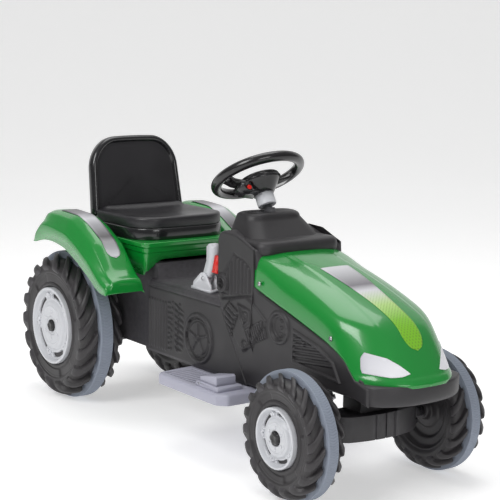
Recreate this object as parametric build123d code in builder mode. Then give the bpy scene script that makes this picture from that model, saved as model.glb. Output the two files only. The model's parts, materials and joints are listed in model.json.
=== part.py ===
"""A child's battery ride-on tractor, modelled as an assembly of separate moulded and metal pieces.

Millimetres. +X is the driver's left, the tractor faces -Y and +Z is up.
The origin lies on the ground, under the middle of the tractor.
"""

import os
from math import cos, radians, sin

from build123d import *

os.makedirs("parts", exist_ok=True)

# ---------------------------------------------------------------- driving dimensions
wheelbase = 900.0
nose_overhang = 178.0  # front axle to the front of the nose
rear_radius = 175.0  # over the traction band
front_radius = 124.0
rear_track_half = 160.0  # to the middle plane of a rear wheel
front_track_half = 176.0
rear_tyre_width = 112.0
front_tyre_width = 84.0
lug_count = 18
spoke_count = 5  # bolt bosses, and slots between them, in each rim
tyre_wall = 4.0
band_stand = 5.0  # height of the traction band above the lugs
axle_radius = 6.0

running_gap = 0.1  # radial clearance of a shaft in its bore
fit_gap = 0.3  # between pieces that sit beside each other

shell = 4.0  # wall of the body mouldings
panel = 3.0  # wall of the hood, deck and fenders
body_half = 110.0
floor_z = 157.0
shelf_z = 320.0
deck_low = 354.0
deck_top = 401.0

column_tilt = 31.2  # steering column, leaning back from upright, degrees
rim_radius = 91.0  # steering wheel, to the middle of its tube
rim_tube = 11.0
steer_lock = 20.0  # turn of a front wheel each way, degrees
kingpin_half = 118.0
kingpin_radius = 5.0
knuckle_arm = 61.5  # kingpin to its tie rod pin
crank_arm = 32.4  # column to its crank pin
link_z = 107.7  # middle of the tie rod
slot_play = 1.0  # side clearance of a link pin in its slot

seat_half = 127.0
seat_back_top = 622.0
board_half = 200.0
board_top = 155.0
board_thick = 22.0

front_axle_y = (nose_overhang - wheelbase - rear_radius) / 2
rear_axle_y = front_axle_y + wheelbase


def ahead(distance):
    """Y of a point this far in front of the front axle."""
    return front_axle_y - distance


def fore(distance):
    """Y of a point this far in front of the rear axle."""
    return rear_axle_y - distance


# ---------------------------------------------------------------- helpers
def save(piece, label):
    """Name a finished part and write it as its own STEP file."""
    piece.part.label = label
    export_step(piece.part, f"parts/{label}.step")


def prism(points, x_low, x_high, mode=Mode.ADD):
    """Extrude a side outline of (y, z) points from x_low to x_high, inside the current part."""
    with BuildSketch(Plane.YZ.offset(x_low)) as outline:
        with BuildLine():
            Polyline(*points, close=True)
        make_face()
    return extrude(outline.sketch, amount=x_high - x_low, mode=mode)


def plan(points, z_low, z_high, mode=Mode.ADD):
    """Extrude a plan outline of (x, y) points from z_low to z_high, inside the current part."""
    with BuildSketch(Plane.XY.offset(z_low)) as outline:
        with BuildLine():
            Polyline(*points, close=True)
        make_face()
    return extrude(outline.sketch, amount=z_high - z_low, mode=mode)


def x_rod(x_one, x_two, y, z, radius, mode=Mode.ADD):
    """A round rod along X, inside the current part."""
    low, high = sorted((x_one, x_two))
    with BuildSketch(Plane.YZ.offset(low)) as section:
        with Locations((y, z)):
            Circle(radius)
    return extrude(section.sketch, amount=high - low, mode=mode)


def z_rod(x, y, z_low, z_high, radius, mode=Mode.ADD):
    """A round rod along Z, inside the current part."""
    with BuildSketch(Plane.XY.offset(z_low)) as section:
        with Locations((x, y)):
            Circle(radius)
    return extrude(section.sketch, amount=z_high - z_low, mode=mode)


def block(x, y, z, mode=Mode.ADD):
    """A box from its two limits on each axis, inside the current part."""
    with Locations((sum(x) / 2, sum(y) / 2, sum(z) / 2)):
        return Box(abs(x[1] - x[0]), abs(y[1] - y[0]), abs(z[1] - z[0]), mode=mode)


# ---------------------------------------------------------------- wheels
def wheel_sizes(radius, width, rim_share):
    """Radii and widths that the tyre, disc, band and cap of one wheel share."""
    return {
        "tread": radius - band_stand,
        "root": 0.92 * radius - band_stand,
        "shoulder": 0.86 * radius,
        "rim": rim_share * radius,
        "band_half": 0.135 * width,
        "half": width / 2,
        "hub": 20.0,
        "recess": 12.0,
    }


def tyre(radius, width, x_middle, y, rim_share):
    """The hollow moulded wheel of the right side: tread, side walls, web, hub and chevron lugs."""
    size = wheel_sizes(radius, width, rim_share)
    half = size["half"]
    dish = 0.62 * radius
    wall = tyre_wall
    floor = half - size["recess"]
    groove = size["root"] + 1.5
    plane = Plane(origin=(-x_middle, y, radius), x_dir=(-1, 0, 0), z_dir=(0, 1, 0))
    with BuildPart() as one_lug:
        middle = (half + size["band_half"]) / 2 - 0.5
        reach = size["tread"] - size["shoulder"]
        for lean in (-1, 1):
            seat = Plane(
                origin=(-x_middle + lean * middle, y, radius + size["shoulder"] - 1.0),
                x_dir=(cos(radians(30)), lean * sin(radians(30)), 0),
                z_dir=(0, 0, 1),
            )
            with BuildSketch(seat):
                Rectangle(half - size["band_half"] - 7.0, 0.12 * radius)
            extrude(amount=reach, taper=14)
    with BuildPart() as wheel:
        with BuildSketch(plane):
            with BuildLine():
                Polyline(
                    (floor, axle_radius + running_gap),
                    (floor, size["rim"] + fit_gap),
                    (half - 1.5, size["rim"] + fit_gap),
                    (half, size["shoulder"] - 6.0),
                    (0.80 * half, size["shoulder"] + 2.0),
                    (size["band_half"] + fit_gap, groove),
                    (-size["band_half"] - fit_gap, groove),
                    (-0.80 * half, size["shoulder"] + 2.0),
                    (-half, size["shoulder"] - 6.0),
                    (-half + 1.5, dish),
                    (-half + 1.5 + wall, dish),
                    (-half + wall, size["shoulder"] - 6.0 - wall),
                    (-0.80 * half, size["shoulder"] - wall),
                    (0.80 * half, size["shoulder"] - wall),
                    (half - wall, size["shoulder"] - 6.0 - wall),
                    (half - wall - 1.5, size["rim"] + wall),
                    (floor - wall, size["rim"] + wall),
                    (floor - wall, size["hub"]),
                    (-0.75 * half, size["hub"]),
                    (-0.75 * half, axle_radius + running_gap),
                    close=True,
                )
            make_face()
        revolve(axis=Axis((-x_middle, y, radius), (1, 0, 0)))
        hub_line = Axis((-x_middle, y, radius), (1, 0, 0))
        right_lug, left_lug = one_lug.part.solids().sort_by(Axis.X)
        pitch = 360.0 / lug_count
        lugs = [right_lug.rotate(hub_line, n * pitch) for n in range(lug_count)]
        lugs += [left_lug.rotate(hub_line, (n + 0.5) * pitch) for n in range(lug_count)]
        add(lugs)
    return wheel


def rim_disc(radius, width, x_middle, y, rim_share):
    """The dished disc in the outer face of a right wheel, with its lip, slots and bolt heads."""
    size = wheel_sizes(radius, width, rim_share)
    half = size["half"]
    back = half - size["recess"]
    rim = size["rim"]
    plane = Plane(origin=(-x_middle, y, radius), x_dir=(-1, 0, 0), z_dir=(0, 1, 0))
    with BuildPart() as disc:
        with BuildSketch(plane):
            with BuildLine():
                Polyline(
                    (back, 14.0),
                    (back, rim),
                    (half + 1.5, rim),
                    (half + 1.5, 0.93 * rim),
                    (back + 4.0, 0.86 * rim),
                    (back + 4.0, 0.66 * rim),
                    (back + 9.0, 0.60 * rim),
                    (back + 7.0, 14.0),
                    close=True,
                )
            make_face()
        revolve(axis=Axis((-x_middle, y, radius), (1, 0, 0)))
        face = Plane(origin=(-x_middle - back, y, radius), x_dir=(0, 1, 0), z_dir=(-1, 0, 0))
        with BuildSketch(face.offset(-1)):
            with PolarLocations(0.75 * rim, spoke_count, start_angle=180 / spoke_count):
                Rectangle(0.08 * rim, 0.46 * rim)
        extrude(amount=12, mode=Mode.SUBTRACT)
        with BuildSketch(face.offset(3)):
            with PolarLocations(0.75 * rim, spoke_count):
                Circle(0.075 * rim)
        extrude(amount=5)
    return disc


def traction_band(radius, width, x_middle, y, rim_share):
    """The rubber band in the middle of the tread, which is what touches the ground."""
    size = wheel_sizes(radius, width, rim_share)
    inner = size["root"] + 1.5 + fit_gap
    with BuildPart() as band:
        with BuildSketch(Plane.YZ.offset(-x_middle - size["band_half"])):
            with Locations((y, radius)):
                Circle(radius)
                Circle(inner, mode=Mode.SUBTRACT)
        extrude(amount=2 * size["band_half"])
        outer = band.faces().filter_by(GeomType.CYLINDER).sort_by(SortBy.AREA)[-1]
        fillet(outer.edges().filter_by(GeomType.CIRCLE), 1.5)
    return band


def axle_cap(radius, width, x_middle, y, rim_share):
    """The black cap over the axle end in the middle of a right disc."""
    size = wheel_sizes(radius, width, rim_share)
    back = x_middle + size["half"] - size["recess"]
    with BuildPart() as cap:
        x_rod(-back, -back - 15.0, y, radius, 13.5)
        chamfer(cap.faces().sort_by(Axis.X)[0].edges(), 2.5)
        deep = -axle_end(x_middle, width) - fit_gap
        x_rod(-back, deep, y, radius, axle_radius + running_gap, Mode.SUBTRACT)
    return cap


def axle_end(x_middle, width):
    """Distance from the middle of the tractor to the end of an axle."""
    return x_middle + width / 2 - 4.0


rear_facts = (rear_radius, rear_tyre_width, rear_track_half, rear_axle_y, 0.52)
front_facts = (front_radius, front_tyre_width, front_track_half, front_axle_y, 0.47)
for place, facts in (("rear", rear_facts), ("front", front_facts)):
    for piece, make in (
        ("tyre", tyre),
        ("rim", rim_disc),
        ("traction_band", traction_band),
        ("axle_cap", axle_cap),
    ):
        right = make(*facts)
        save(right, f"{place}_{piece}_right")
        with BuildPart() as left:
            add(mirror(right.part, about=Plane.YZ, mode=Mode.PRIVATE))
        save(left, f"{place}_{piece}_left")

# ---------------------------------------------------------------- rear axle and drive
rear_axle_end = axle_end(rear_track_half, rear_tyre_width)
with BuildPart() as rear_axle:
    x_rod(-rear_axle_end, rear_axle_end, rear_axle_y, rear_radius, axle_radius)
save(rear_axle, "rear_axle")

rear_half = 96.0  # half width of the body between the rear wheels
gearbox_in, gearbox_out = 46.0, rear_half - shell
dog_radius = 18.0
dog_in = gearbox_out - 10.0
dog_out = rear_track_half - 0.75 * rear_tyre_width / 2
motor_radius = 18.0
motor_length = 42.0
motor_y, motor_z = fore(52.0), rear_radius + 42.0
for side, hand in ((-1, "right"), (1, "left")):
    with BuildPart() as gearbox:
        with BuildSketch(Plane.YZ.offset(min(side * gearbox_in, side * gearbox_out))):
            with BuildLine():
                Line((fore(-26), rear_radius - 24), (fore(-26), rear_radius + 24))
                Line((fore(-26), rear_radius + 24), (motor_y + 10, motor_z + 25))
                ThreePointArc(
                    (motor_y + 10, motor_z + 25),
                    (motor_y - 18, motor_z + 18),
                    (motor_y - 25, motor_z - 10),
                )
                Line((motor_y - 25, motor_z - 10), (fore(20), rear_radius - 30))
                Line((fore(20), rear_radius - 30), (fore(-26), rear_radius - 24))
            make_face()
        extrude(amount=gearbox_out - gearbox_in)
        through = (side * (gearbox_in - 1), side * (gearbox_out + 1))
        x_rod(*through, rear_axle_y, rear_radius, axle_radius + running_gap, Mode.SUBTRACT)
        pocket = (side * dog_in, side * (gearbox_out + 1))
        x_rod(*pocket, rear_axle_y, rear_radius, dog_radius + fit_gap, Mode.SUBTRACT)
    save(gearbox, f"gearbox_{hand}")
    with BuildPart() as motor:
        x_rod(side * (gearbox_in - motor_length), side * gearbox_in, motor_y, motor_z, motor_radius)
    save(motor, f"motor_{hand}")
    with BuildPart() as dog:
        x_rod(side * (dog_in + fit_gap), side * dog_out, rear_axle_y, rear_radius, dog_radius)
        bore = (side * dog_in, side * (dog_out + 1))
        x_rod(*bore, rear_axle_y, rear_radius, axle_radius + running_gap, Mode.SUBTRACT)
    save(dog, f"drive_dog_{hand}")

# ---------------------------------------------------------------- rear body
pedestal_y = fore(292.0)
box_rear_y = fore(-52.0)
seam_low_y = ahead(-242.0)
seam_top_y = ahead(-342.0)
seam_lean = (seam_top_y - seam_low_y) / (shelf_z - floor_z)


def rear_block(inset):
    """The solid outline of the rear body, shrunk by a wall thickness."""
    with BuildPart() as solid:
        tub_low, tub_high = floor_z + inset, shelf_z - inset
        prism(
            [
                (seam_low_y + seam_lean * inset + 1.1 * inset, tub_low),
                (seam_top_y - seam_lean * inset + 1.1 * inset, tub_high),
                (pedestal_y + 20.0, tub_high),
                (pedestal_y + 20.0, tub_low),
            ],
            -body_half + inset,
            body_half - inset,
        )
        if inset == 0:
            fillet(solid.edges().filter_by(Axis.Y).group_by(Axis.Z)[-1], 14.0)
        prism(
            [
                (pedestal_y + inset, floor_z + inset),
                (pedestal_y + inset, deck_low - inset),
                (box_rear_y - 30.0, deck_low - inset),
                (box_rear_y - inset, deck_low - 40.0),
                (box_rear_y - inset, rear_radius - 48.0 + inset),
                (box_rear_y - 86.0, rear_radius - 48.0 + inset),
                (box_rear_y - 130.0, floor_z + inset),
            ],
            -rear_half + inset,
            rear_half - inset,
        )
    return solid


rear_void = rear_block(shell)
rear_outer = rear_block(0)
battery_half, battery_low, battery_high = 75.0, floor_z + shell + 4.0, floor_z + shell + 104.0
battery_front, battery_rear = fore(250.0), fore(110.0)
hatch_half, hatch_front, hatch_rear = 80.0, fore(262.0), fore(92.0)
with BuildPart() as rear_body:
    add(rear_outer.part)
    add(rear_void.part, mode=Mode.SUBTRACT)
    hatch_z = (deck_low - 8, deck_low + 1)
    block((-hatch_half, hatch_half), (hatch_front, hatch_rear), hatch_z, Mode.SUBTRACT)
    for side in (-1, 1):
        wall_span = (side * (rear_half - shell - 1), side * (rear_half + 1))
        x_rod(*wall_span, rear_axle_y, rear_radius, dog_radius + 2.0, Mode.SUBTRACT)
save(rear_body, "rear_body")

with BuildPart() as battery:
    block((-battery_half, battery_half), (battery_front, battery_rear), (battery_low, battery_high))
    for x in (-45, 45):
        block((x - 6, x + 6), (battery_front + 12, battery_front + 26), (battery_high, battery_high + 7))
save(battery, "battery")

with BuildPart() as battery_tray:
    rim_x = battery_half + fit_gap + 4.0
    rim_y = (battery_front - fit_gap - 4.0, battery_rear + fit_gap + 4.0)
    block((-rim_x, rim_x), rim_y, (floor_z + shell, battery_low + 36.0))
    pocket_x = battery_half + fit_gap
    pocket_y = (battery_front - fit_gap, battery_rear + fit_gap)
    block((-pocket_x, pocket_x), pocket_y, (battery_low, battery_low + 37.0), Mode.SUBTRACT)
save(battery_tray, "battery_tray")

# ---------------------------------------------------------------- steering column line
wheel_y = ahead(-367.0)
wheel_z = 568.5
lean_back = radians(column_tilt)


def on_column(along, x=0.0, out=0.0):
    """A point by its distance down the column from the wheel, with out measured forward of it."""
    y = wheel_y - along * sin(lean_back) - out * cos(lean_back)
    z = wheel_z - along * cos(lean_back) + out * sin(lean_back)
    return (x, y, z)


def across(along, out=0.0):
    """A plane across the column, its own Z pointing up the column."""
    up = (0, sin(lean_back), cos(lean_back))
    return Plane(origin=on_column(along, 0.0, out), x_dir=(1, 0, 0), z_dir=up)


def along_to(z):
    """Distance down the column at which it reaches a height."""
    return (wheel_z - z) / cos(lean_back)


column_radius = 9.0
bush_radius = 14.0
dash_top = 495.0
top_bush = along_to(dash_top)
floor_bush = along_to(floor_z + 2.0)

# ---------------------------------------------------------------- front body with the dash
band_low = 190.0
arch_gap = 12.0
arch_top = 205.0  # the flanks stay whole above this height
hood_rear_y = ahead(-224.0)
screw_shank, screw_head = 2.0, 4.5
screw_spots = [(ahead(-198.0), 374.0), (ahead(30.0), 306.0)]  # (y, z) on both flanks of the hood
hood_edge = [
    (hood_rear_y, 359.0),
    (ahead(-63.0), 321.0),
    (ahead(15.0), 298.0),
    (ahead(66.0), 275.0),
    (ahead(96.0), 238.0),
    (ahead(nose_overhang + 8.0), 230.0),
]


def nose_plan(inset, reach):
    """Plan outline of the nose: parallel flanks, then rounded corners to a blunt front."""
    half = body_half - inset
    front = ahead(nose_overhang - inset)
    return [
        (-half, ahead(-400.0)),
        (-half, ahead(reach)),
        (-half + 12.0, front + 42.0),
        (-half + 46.0, front + 14.0),
        (-14.0, front),
        (14.0, front),
        (half - 46.0, front + 14.0),
        (half - 12.0, front + 42.0),
        (half, ahead(reach)),
        (half, ahead(-400.0)),
    ]


def pod_block(inset):
    """The raised pod on the dash that carries the steering column, shrunk by a wall thickness."""
    with BuildPart() as pod:
        prism(
            [
                (ahead(-248.0) + inset, 436.0),
                (ahead(-250.0) + inset, 452.0 - inset),
                (ahead(-290.0) + inset, 500.0 - inset),
                (ahead(-364.0) - inset, 489.0 - inset),
                (ahead(-356.0) - inset, 436.0),
            ],
            -90.0,
            90.0,
        )
        plan(
            [
                (-88.0 + inset, ahead(-240.0)),
                (-88.0 + inset, ahead(-320.0) - inset),
                (-40.0 + inset, ahead(-366.0) - inset),
                (40.0 - inset, ahead(-366.0) - inset),
                (88.0 - inset, ahead(-320.0) - inset),
                (88.0 - inset, ahead(-240.0)),
            ],
            400.0,
            520.0,
            Mode.INTERSECT,
        )
        with BuildSketch(Plane.XZ.offset(-ahead(-240.0) - 200.0)):
            with BuildLine():
                Polyline(
                    (-88.0 + inset, 400.0),
                    (-88.0 + inset, 460.0 - inset),
                    (-66.0 + inset, 510.0),
                    (66.0 - inset, 510.0),
                    (88.0 - inset, 460.0 - inset),
                    (88.0 - inset, 400.0),
                    close=True,
                )
            make_face()
        extrude(amount=400.0, mode=Mode.INTERSECT)
    return pod


def front_block(inset):
    """The solid outline of the front body, shrunk by a wall thickness."""
    dash_pod = pod_block(inset)
    with BuildPart() as solid:
        prism(
            [
                (seam_low_y - fit_gap - 1.1 * inset, floor_z + inset),
                (ahead(-98.0) + inset, floor_z + inset),
                (ahead(-62.0) + inset, band_low + inset),
                (ahead(158.0), band_low + inset),
                (ahead(172.0), 195.0 + inset),
                (ahead(200.0), 214.0),
                (ahead(200.0), 330.0 - inset),
                (hood_rear_y, 446.0 - inset),
                (ahead(-283.0), 448.0 - inset),
                (ahead(-330.0), 466.0 - inset),
                (ahead(-356.0) - inset, 447.0),
                (ahead(-343.0) - inset, 404.0),
                (ahead(-351.0) - inset, 351.0),
                (seam_top_y - fit_gap - 1.1 * inset, shelf_z),
            ],
            -body_half + inset,
            body_half - inset,
        )
        add(dash_pod.part)
        with BuildSketch(Plane.XY.offset(100.0)):
            with BuildLine():
                Polyline(*nose_plan(inset, 120.0), close=True)
            make_face()
        extrude(amount=450.0, mode=Mode.INTERSECT)
    return solid


def hood_zone(grow):
    """Everything above the hood's lower edge, ahead of the dash, moved down by grow."""
    with BuildPart() as zone:
        outline = [(y, z - grow) for y, z in hood_edge]
        prism([(outline[0][0], 520.0), *outline, (outline[-1][0], 520.0)], -140.0, 140.0)
    return zone


front_outer = front_block(0)
front_void = front_block(shell)
under_hood = hood_zone(fit_gap)
with BuildPart() as front_body:
    add(front_outer.part)
    add(front_void.part, mode=Mode.SUBTRACT)
    add(under_hood.part, mode=Mode.SUBTRACT)
    # bosses round the column bushes
    for along in (top_bush + 20.0, floor_bush + 2.0):
        with BuildSketch(across(along)):
            Circle(bush_radius + shell)
        extrude(amount=15.0)
    for along in (top_bush, floor_bush):
        with BuildSketch(across(along)):
            Circle(bush_radius)
        extrude(amount=30.0, both=True, mode=Mode.SUBTRACT)
    # wheel arches, cut into the flanks so that the steered wheels clear them
    for side in (-1, 1):
        reach = (side * 86.0, side * (body_half + 1.0))
        with BuildSketch(Plane.YZ.offset(min(reach))) as arch:
            with Locations((front_axle_y, front_radius)):
                Circle(front_radius + arch_gap)
            with Locations((front_axle_y, arch_top - 100.0)):
                Rectangle(400.0, 200.0, mode=Mode.INTERSECT)
        extrude(arch.sketch, amount=max(reach) - min(reach), mode=Mode.SUBTRACT)
    for side in (-1, 1):
        for y, z in screw_spots:
            span = (side * (body_half - 20.0), side * (body_half + 1.0))
            x_rod(*span, y, z, screw_shank + running_gap, Mode.SUBTRACT)
save(front_body, "front_body")

for place, along, reach in (("top", top_bush + 8.0, 14.0), ("floor", floor_bush - 5.0, 9.0)):
    with BuildPart() as bush:
        with BuildSketch(across(along)):
            Circle(bush_radius - fit_gap)
            Circle(column_radius + running_gap, mode=Mode.SUBTRACT)
        extrude(amount=reach, both=True)
    save(bush, f"column_bush_{place}")

# ---------------------------------------------------------------- hood
hood_half = 114.0
crown = 28.0  # drop of the hood from its middle line to its side ridges
hood_slope = 0.441  # fall of the hood towards the nose


def hood_block(inset):
    """The solid under the hood's outer surface, shrunk by a wall thickness."""
    with BuildPart() as solid:
        back = hood_rear_y + 4.0
        peak = 457.0 - inset
        ridge = 101.0 - inset
        side = hood_half - inset
        with BuildSketch(Plane(origin=(0, back, 0), x_dir=(1, 0, 0), z_dir=(0, -1, 0))):
            with BuildLine():
                ThreePointArc((-ridge, peak - crown), (0, peak), (ridge, peak - crown))
                Line((ridge, peak - crown), (side - 2.0, peak - crown - 20.0))
                Line((side - 2.0, peak - crown - 20.0), (side, 0))
                Line((side, 0), (-side, 0))
                Line((-side, 0), (-side + 2.0, peak - crown - 20.0))
                Line((-side + 2.0, peak - crown - 20.0), (-ridge, peak - crown))
            make_face()
        extrude(amount=480.0, dir=(0, -1, -hood_slope))
        with BuildSketch(Plane.YZ.offset(-150.0)):
            with BuildLine():
                front = ahead(nose_overhang - inset)
                Line((hood_rear_y - (panel if inset > 0 else 0), 100.0), (hood_rear_y, 480.0))
                Line((hood_rear_y, 480.0), (ahead(139.0 - inset), 480.0))
                Line((ahead(139.0 - inset), 480.0), (ahead(139.0 - inset), 296.0 - inset))
                ThreePointArc(
                    (ahead(139.0 - inset), 296.0 - inset),
                    (ahead(164.0 - inset), 264.0 - inset),
                    (front, 222.0),
                )
                Line((front, 222.0), (front, 100.0))
                Line((front, 100.0), (hood_rear_y - (panel if inset > 0 else 0), 100.0))
            make_face()
        extrude(amount=300.0, mode=Mode.INTERSECT)
        corner = 120.0 if inset < 0 else 112.0
        with BuildSketch(Plane.XY.offset(100.0)):
            with BuildLine():
                Polyline(
                    (-side, hood_rear_y + 10),
                    (-side, ahead(corner)),
                    (-side + 10.0, front + 40.0),
                    (-side + 46.0, front + 13.0),
                    (-14.0, front),
                    (14.0, front),
                    (side - 46.0, front + 13.0),
                    (side - 10.0, front + 40.0),
                    (side, ahead(corner)),
                    (side, hood_rear_y + 10),
                    close=True,
                )
            make_face()
        extrude(amount=400.0, mode=Mode.INTERSECT)
    return solid


hood_outer = hood_block(0)
hood_inner = hood_block(panel)
hood_keep = hood_zone(0)
with BuildPart() as hood:
    add(hood_outer.part)
    add(hood_inner.part, mode=Mode.SUBTRACT)
    add(hood_keep.part, mode=Mode.INTERSECT)
    for side in (-1, 1):
        for y, z in screw_spots:
            x_rod(side * 90.0, side * (hood_half + 1.0), y, z, screw_shank + running_gap, Mode.SUBTRACT)
save(hood, "hood")

# ---------------------------------------------------------------- lamps and stickers on the hood
lamp_thick = 1.2
hood_lamp_skin = hood_block(-lamp_thick)
for side, hand in ((-1, "right"), (1, "left")):
    with BuildPart() as lamp:
        add(hood_lamp_skin.part)
        add(hood_outer.part, mode=Mode.SUBTRACT)
        with BuildSketch(Plane.XZ.offset(-ahead(80.0))):
            with BuildLine():
                Polyline(
                    (side * 36.0, 256.0),
                    (side * 70.0, 250.0),
                    (side * 118.0, 254.0),
                    (side * 118.0, 290.0),
                    (side * 88.0, 292.0),
                    (side * 62.0, 281.0),
                    close=True,
                )
            make_face()
        extrude(amount=140.0, mode=Mode.INTERSECT)
    save(lamp, f"headlight_{hand}")

sticker_thick = 0.4
hood_sticker_skin = hood_block(-sticker_thick)
with BuildPart() as hood_sticker:
    add(hood_sticker_skin.part)
    add(hood_outer.part, mode=Mode.SUBTRACT)
    with BuildSketch(Plane.XY.offset(250.0)):
        with BuildLine():
            Line((-34.0, ahead(-150.0)), (34.0, ahead(-150.0)))
            Line((34.0, ahead(-150.0)), (22.0, ahead(100.0)))
            ThreePointArc((22.0, ahead(100.0)), (0, ahead(128.0)), (-22.0, ahead(100.0)))
            Line((-22.0, ahead(100.0)), (-34.0, ahead(-150.0)))
        make_face()
    extrude(amount=250.0, mode=Mode.INTERSECT)
save(hood_sticker, "hood_sticker")

# ---------------------------------------------------------------- fenders and seat deck
fender_in = 131.0
fender_out = 234.0
fender_bevel = 20.0


def fender_block(inset):
    """The right fender's solid outline, shrunk by a wall thickness and opened below."""
    drop = 0.0 if inset <= 0 else 14.0
    with BuildPart() as solid:
        with BuildSketch(Plane.YZ.offset(-fender_out + inset)):
            with BuildLine():
                Line((fore(-50.0) - inset, 372.0 - drop), (fore(-45.0) - inset, 404.0 - inset))
                Line((fore(-45.0) - inset, 404.0 - inset), (fore(-8.0) - inset, 450.0 - inset))
                Line((fore(-8.0) - inset, 450.0 - inset), (fore(110.0), 450.0 - inset))
                ThreePointArc(
                    (fore(110.0), 450.0 - inset),
                    (fore(215.0) + inset / 2, 404.0 - inset),
                    (fore(282.0) + inset, 326.0 - inset),
                )
                Line((fore(282.0) + inset, 326.0 - inset), (fore(311.0) + inset, 312.0 - inset))
                Line((fore(311.0) + inset, 312.0 - inset), (fore(313.0) + inset, 296.0 - drop))
                Line((fore(313.0) + inset, 296.0 - drop), (fore(258.0) - inset, 300.0 - drop))
                ThreePointArc(
                    (fore(258.0) - inset, 300.0 - drop),
                    (fore(172.0) - inset, 349.0 - drop),
                    (fore(60.0) - inset, 384.0 - drop),
                )
                Line((fore(60.0) - inset, 384.0 - drop), (fore(-50.0) - inset, 372.0 - drop))
            make_face()
        extrude(amount=fender_out - fender_in - 2 * inset)
        if inset <= 0:
            rim = solid.edges().group_by(Axis.X)[0].filter_by(lambda edge: edge.center().Z > 320.0)
            high = [edge for edge in rim if edge.center().Y > fore(300.0) and edge.center().Z > 395.0]
            chamfer(high, fender_bevel * 0.8, fender_bevel)
    return solid


fender_outer = fender_block(0)
fender_inner = fender_block(panel)
with BuildPart() as fender_right:
    add(fender_outer.part)
    add(fender_inner.part, mode=Mode.SUBTRACT)
save(fender_right, "fender_right")
with BuildPart() as fender_left:
    add(mirror(fender_right.part, about=Plane.YZ, mode=Mode.PRIVATE))
save(fender_left, "fender_left")

sticker_in, sticker_out = 162.0, 210.0
with BuildPart() as fender_stickers:
    with BuildSketch(Plane.YZ.offset(-sticker_out)):
        with BuildLine():
            Line((fore(30.0), 450.0), (fore(110.0), 450.0))
            ThreePointArc((fore(110.0), 450.0), (fore(215.0), 404.0), (fore(282.0), 326.0))
            Line((fore(282.0), 326.0), (fore(282.0), 328.0))
            ThreePointArc(
                (fore(282.0), 328.0),
                (fore(215.0) - sticker_thick, 404.0 + sticker_thick),
                (fore(110.0), 450.0 + sticker_thick),
            )
            Line((fore(110.0), 450.0 + sticker_thick), (fore(30.0), 450.0 + sticker_thick))
            Line((fore(30.0), 450.0 + sticker_thick), (fore(30.0), 450.0))
        make_face()
    extrude(amount=sticker_out - sticker_in)
    add(fender_outer.part, mode=Mode.SUBTRACT)
    with Locations((-(sticker_in + sticker_out) / 2, fore(140.0), 400.0)):
        Box(100.0, 216.0, 200.0, mode=Mode.INTERSECT)
    mirror(about=Plane.YZ)
save(fender_stickers, "fender_stickers")

deck_half = fender_in - fit_gap
deck_front = fore(286.0)
deck_rear = fore(4.0)


def deck_block(inset):
    """The seat deck's solid outline: a stepped front face and a flat top."""
    with BuildPart() as solid:
        prism(
            [
                (deck_front + 7.0 + inset, deck_low - (inset > 0) * 10.0),
                (deck_front + 7.0 + inset, 372.0),
                (deck_front + 3.0 + inset, 374.0),
                (deck_front + 3.0 + inset, 388.0 - inset),
                (deck_front + inset, 390.0 - inset),
                (deck_front + inset, deck_top - inset),
                (deck_rear - inset, deck_top - inset),
                (deck_rear - inset, deck_low - (inset > 0) * 10.0),
            ],
            -deck_half + inset,
            deck_half - inset,
        )
    return solid


deck_outer = deck_block(0)
deck_void = deck_block(panel)
with BuildPart() as seat_deck:
    add(deck_outer.part)
    add(deck_void.part, mode=Mode.SUBTRACT)
    # ribs under the top that stand on the body
    for x in (-88.0, 0.0, 88.0):
        for y in (fore(60.0), fore(40.0)):
            block((x - 2, x + 2), (y - 8, y + 8), (deck_low, deck_top - panel))
        block((x - 2, x + 2), (deck_front + 9, hatch_front - 5), (deck_low, deck_top - panel))
save(seat_deck, "seat_deck")

# ---------------------------------------------------------------- seat
seat_front = fore(266.0)
seat_rear = fore(30.0)
seat_split = 428.0  # height of the joint between the two seat mouldings
seat_top = 452.0
back_lean = 10.0
with BuildPart() as seat_base:
    with BuildSketch(Plane.XY.offset(deck_top)):
        with Locations((0, (seat_front + seat_rear) / 2)):
            RectangleRounded(2 * seat_half, seat_rear - seat_front, 34.0)
    extrude(amount=seat_split - deck_top)
    with BuildSketch(Plane.XY.offset(deck_top)):
        with Locations((0, (seat_front + seat_rear) / 2)):
            RectangleRounded(2 * (seat_half - panel), seat_rear - seat_front - 2 * panel, 31.0)
    extrude(amount=seat_split - deck_top - panel, mode=Mode.SUBTRACT)
save(seat_base, "seat_base")

with BuildPart() as seat:
    with BuildSketch(Plane.XY.offset(seat_split)):
        with Locations((0, (seat_front + seat_rear) / 2)):
            RectangleRounded(2 * seat_half - 4.0, seat_rear - seat_front - 4.0, 33.0)
    extrude(amount=seat_top - seat_split)
    fillet(seat.edges().filter_by(GeomType.LINE).group_by(Axis.Z)[-1], 6.0)
    back_plane = Plane(
        origin=(0, seat_rear - 2.0, seat_split + 2.0),
        x_dir=(-1, 0, 0),
        z_dir=(0, cos(radians(back_lean)), -sin(radians(back_lean))),
    )
    back_height = (seat_back_top - seat_split - 2.0) / cos(radians(back_lean))
    with BuildSketch(back_plane.offset(-26.0)):
        with BuildLine():
            Line((-seat_half + 4, 0), (seat_half - 4, 0))
            Line((seat_half - 4, 0), (seat_half - 6, back_height - 62.0))
            ThreePointArc(
                (seat_half - 6, back_height - 62.0),
                (seat_half - 26, back_height - 18.0),
                (seat_half - 70, back_height),
            )
            Line((seat_half - 70, back_height), (-seat_half + 70, back_height))
            ThreePointArc(
                (-seat_half + 70, back_height),
                (-seat_half + 26, back_height - 18.0),
                (-seat_half + 6, back_height - 62.0),
            )
            Line((-seat_half + 6, back_height - 62.0), (-seat_half + 4, 0))
        make_face()
    extrude(amount=26.0)
save(seat, "seat")

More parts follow.
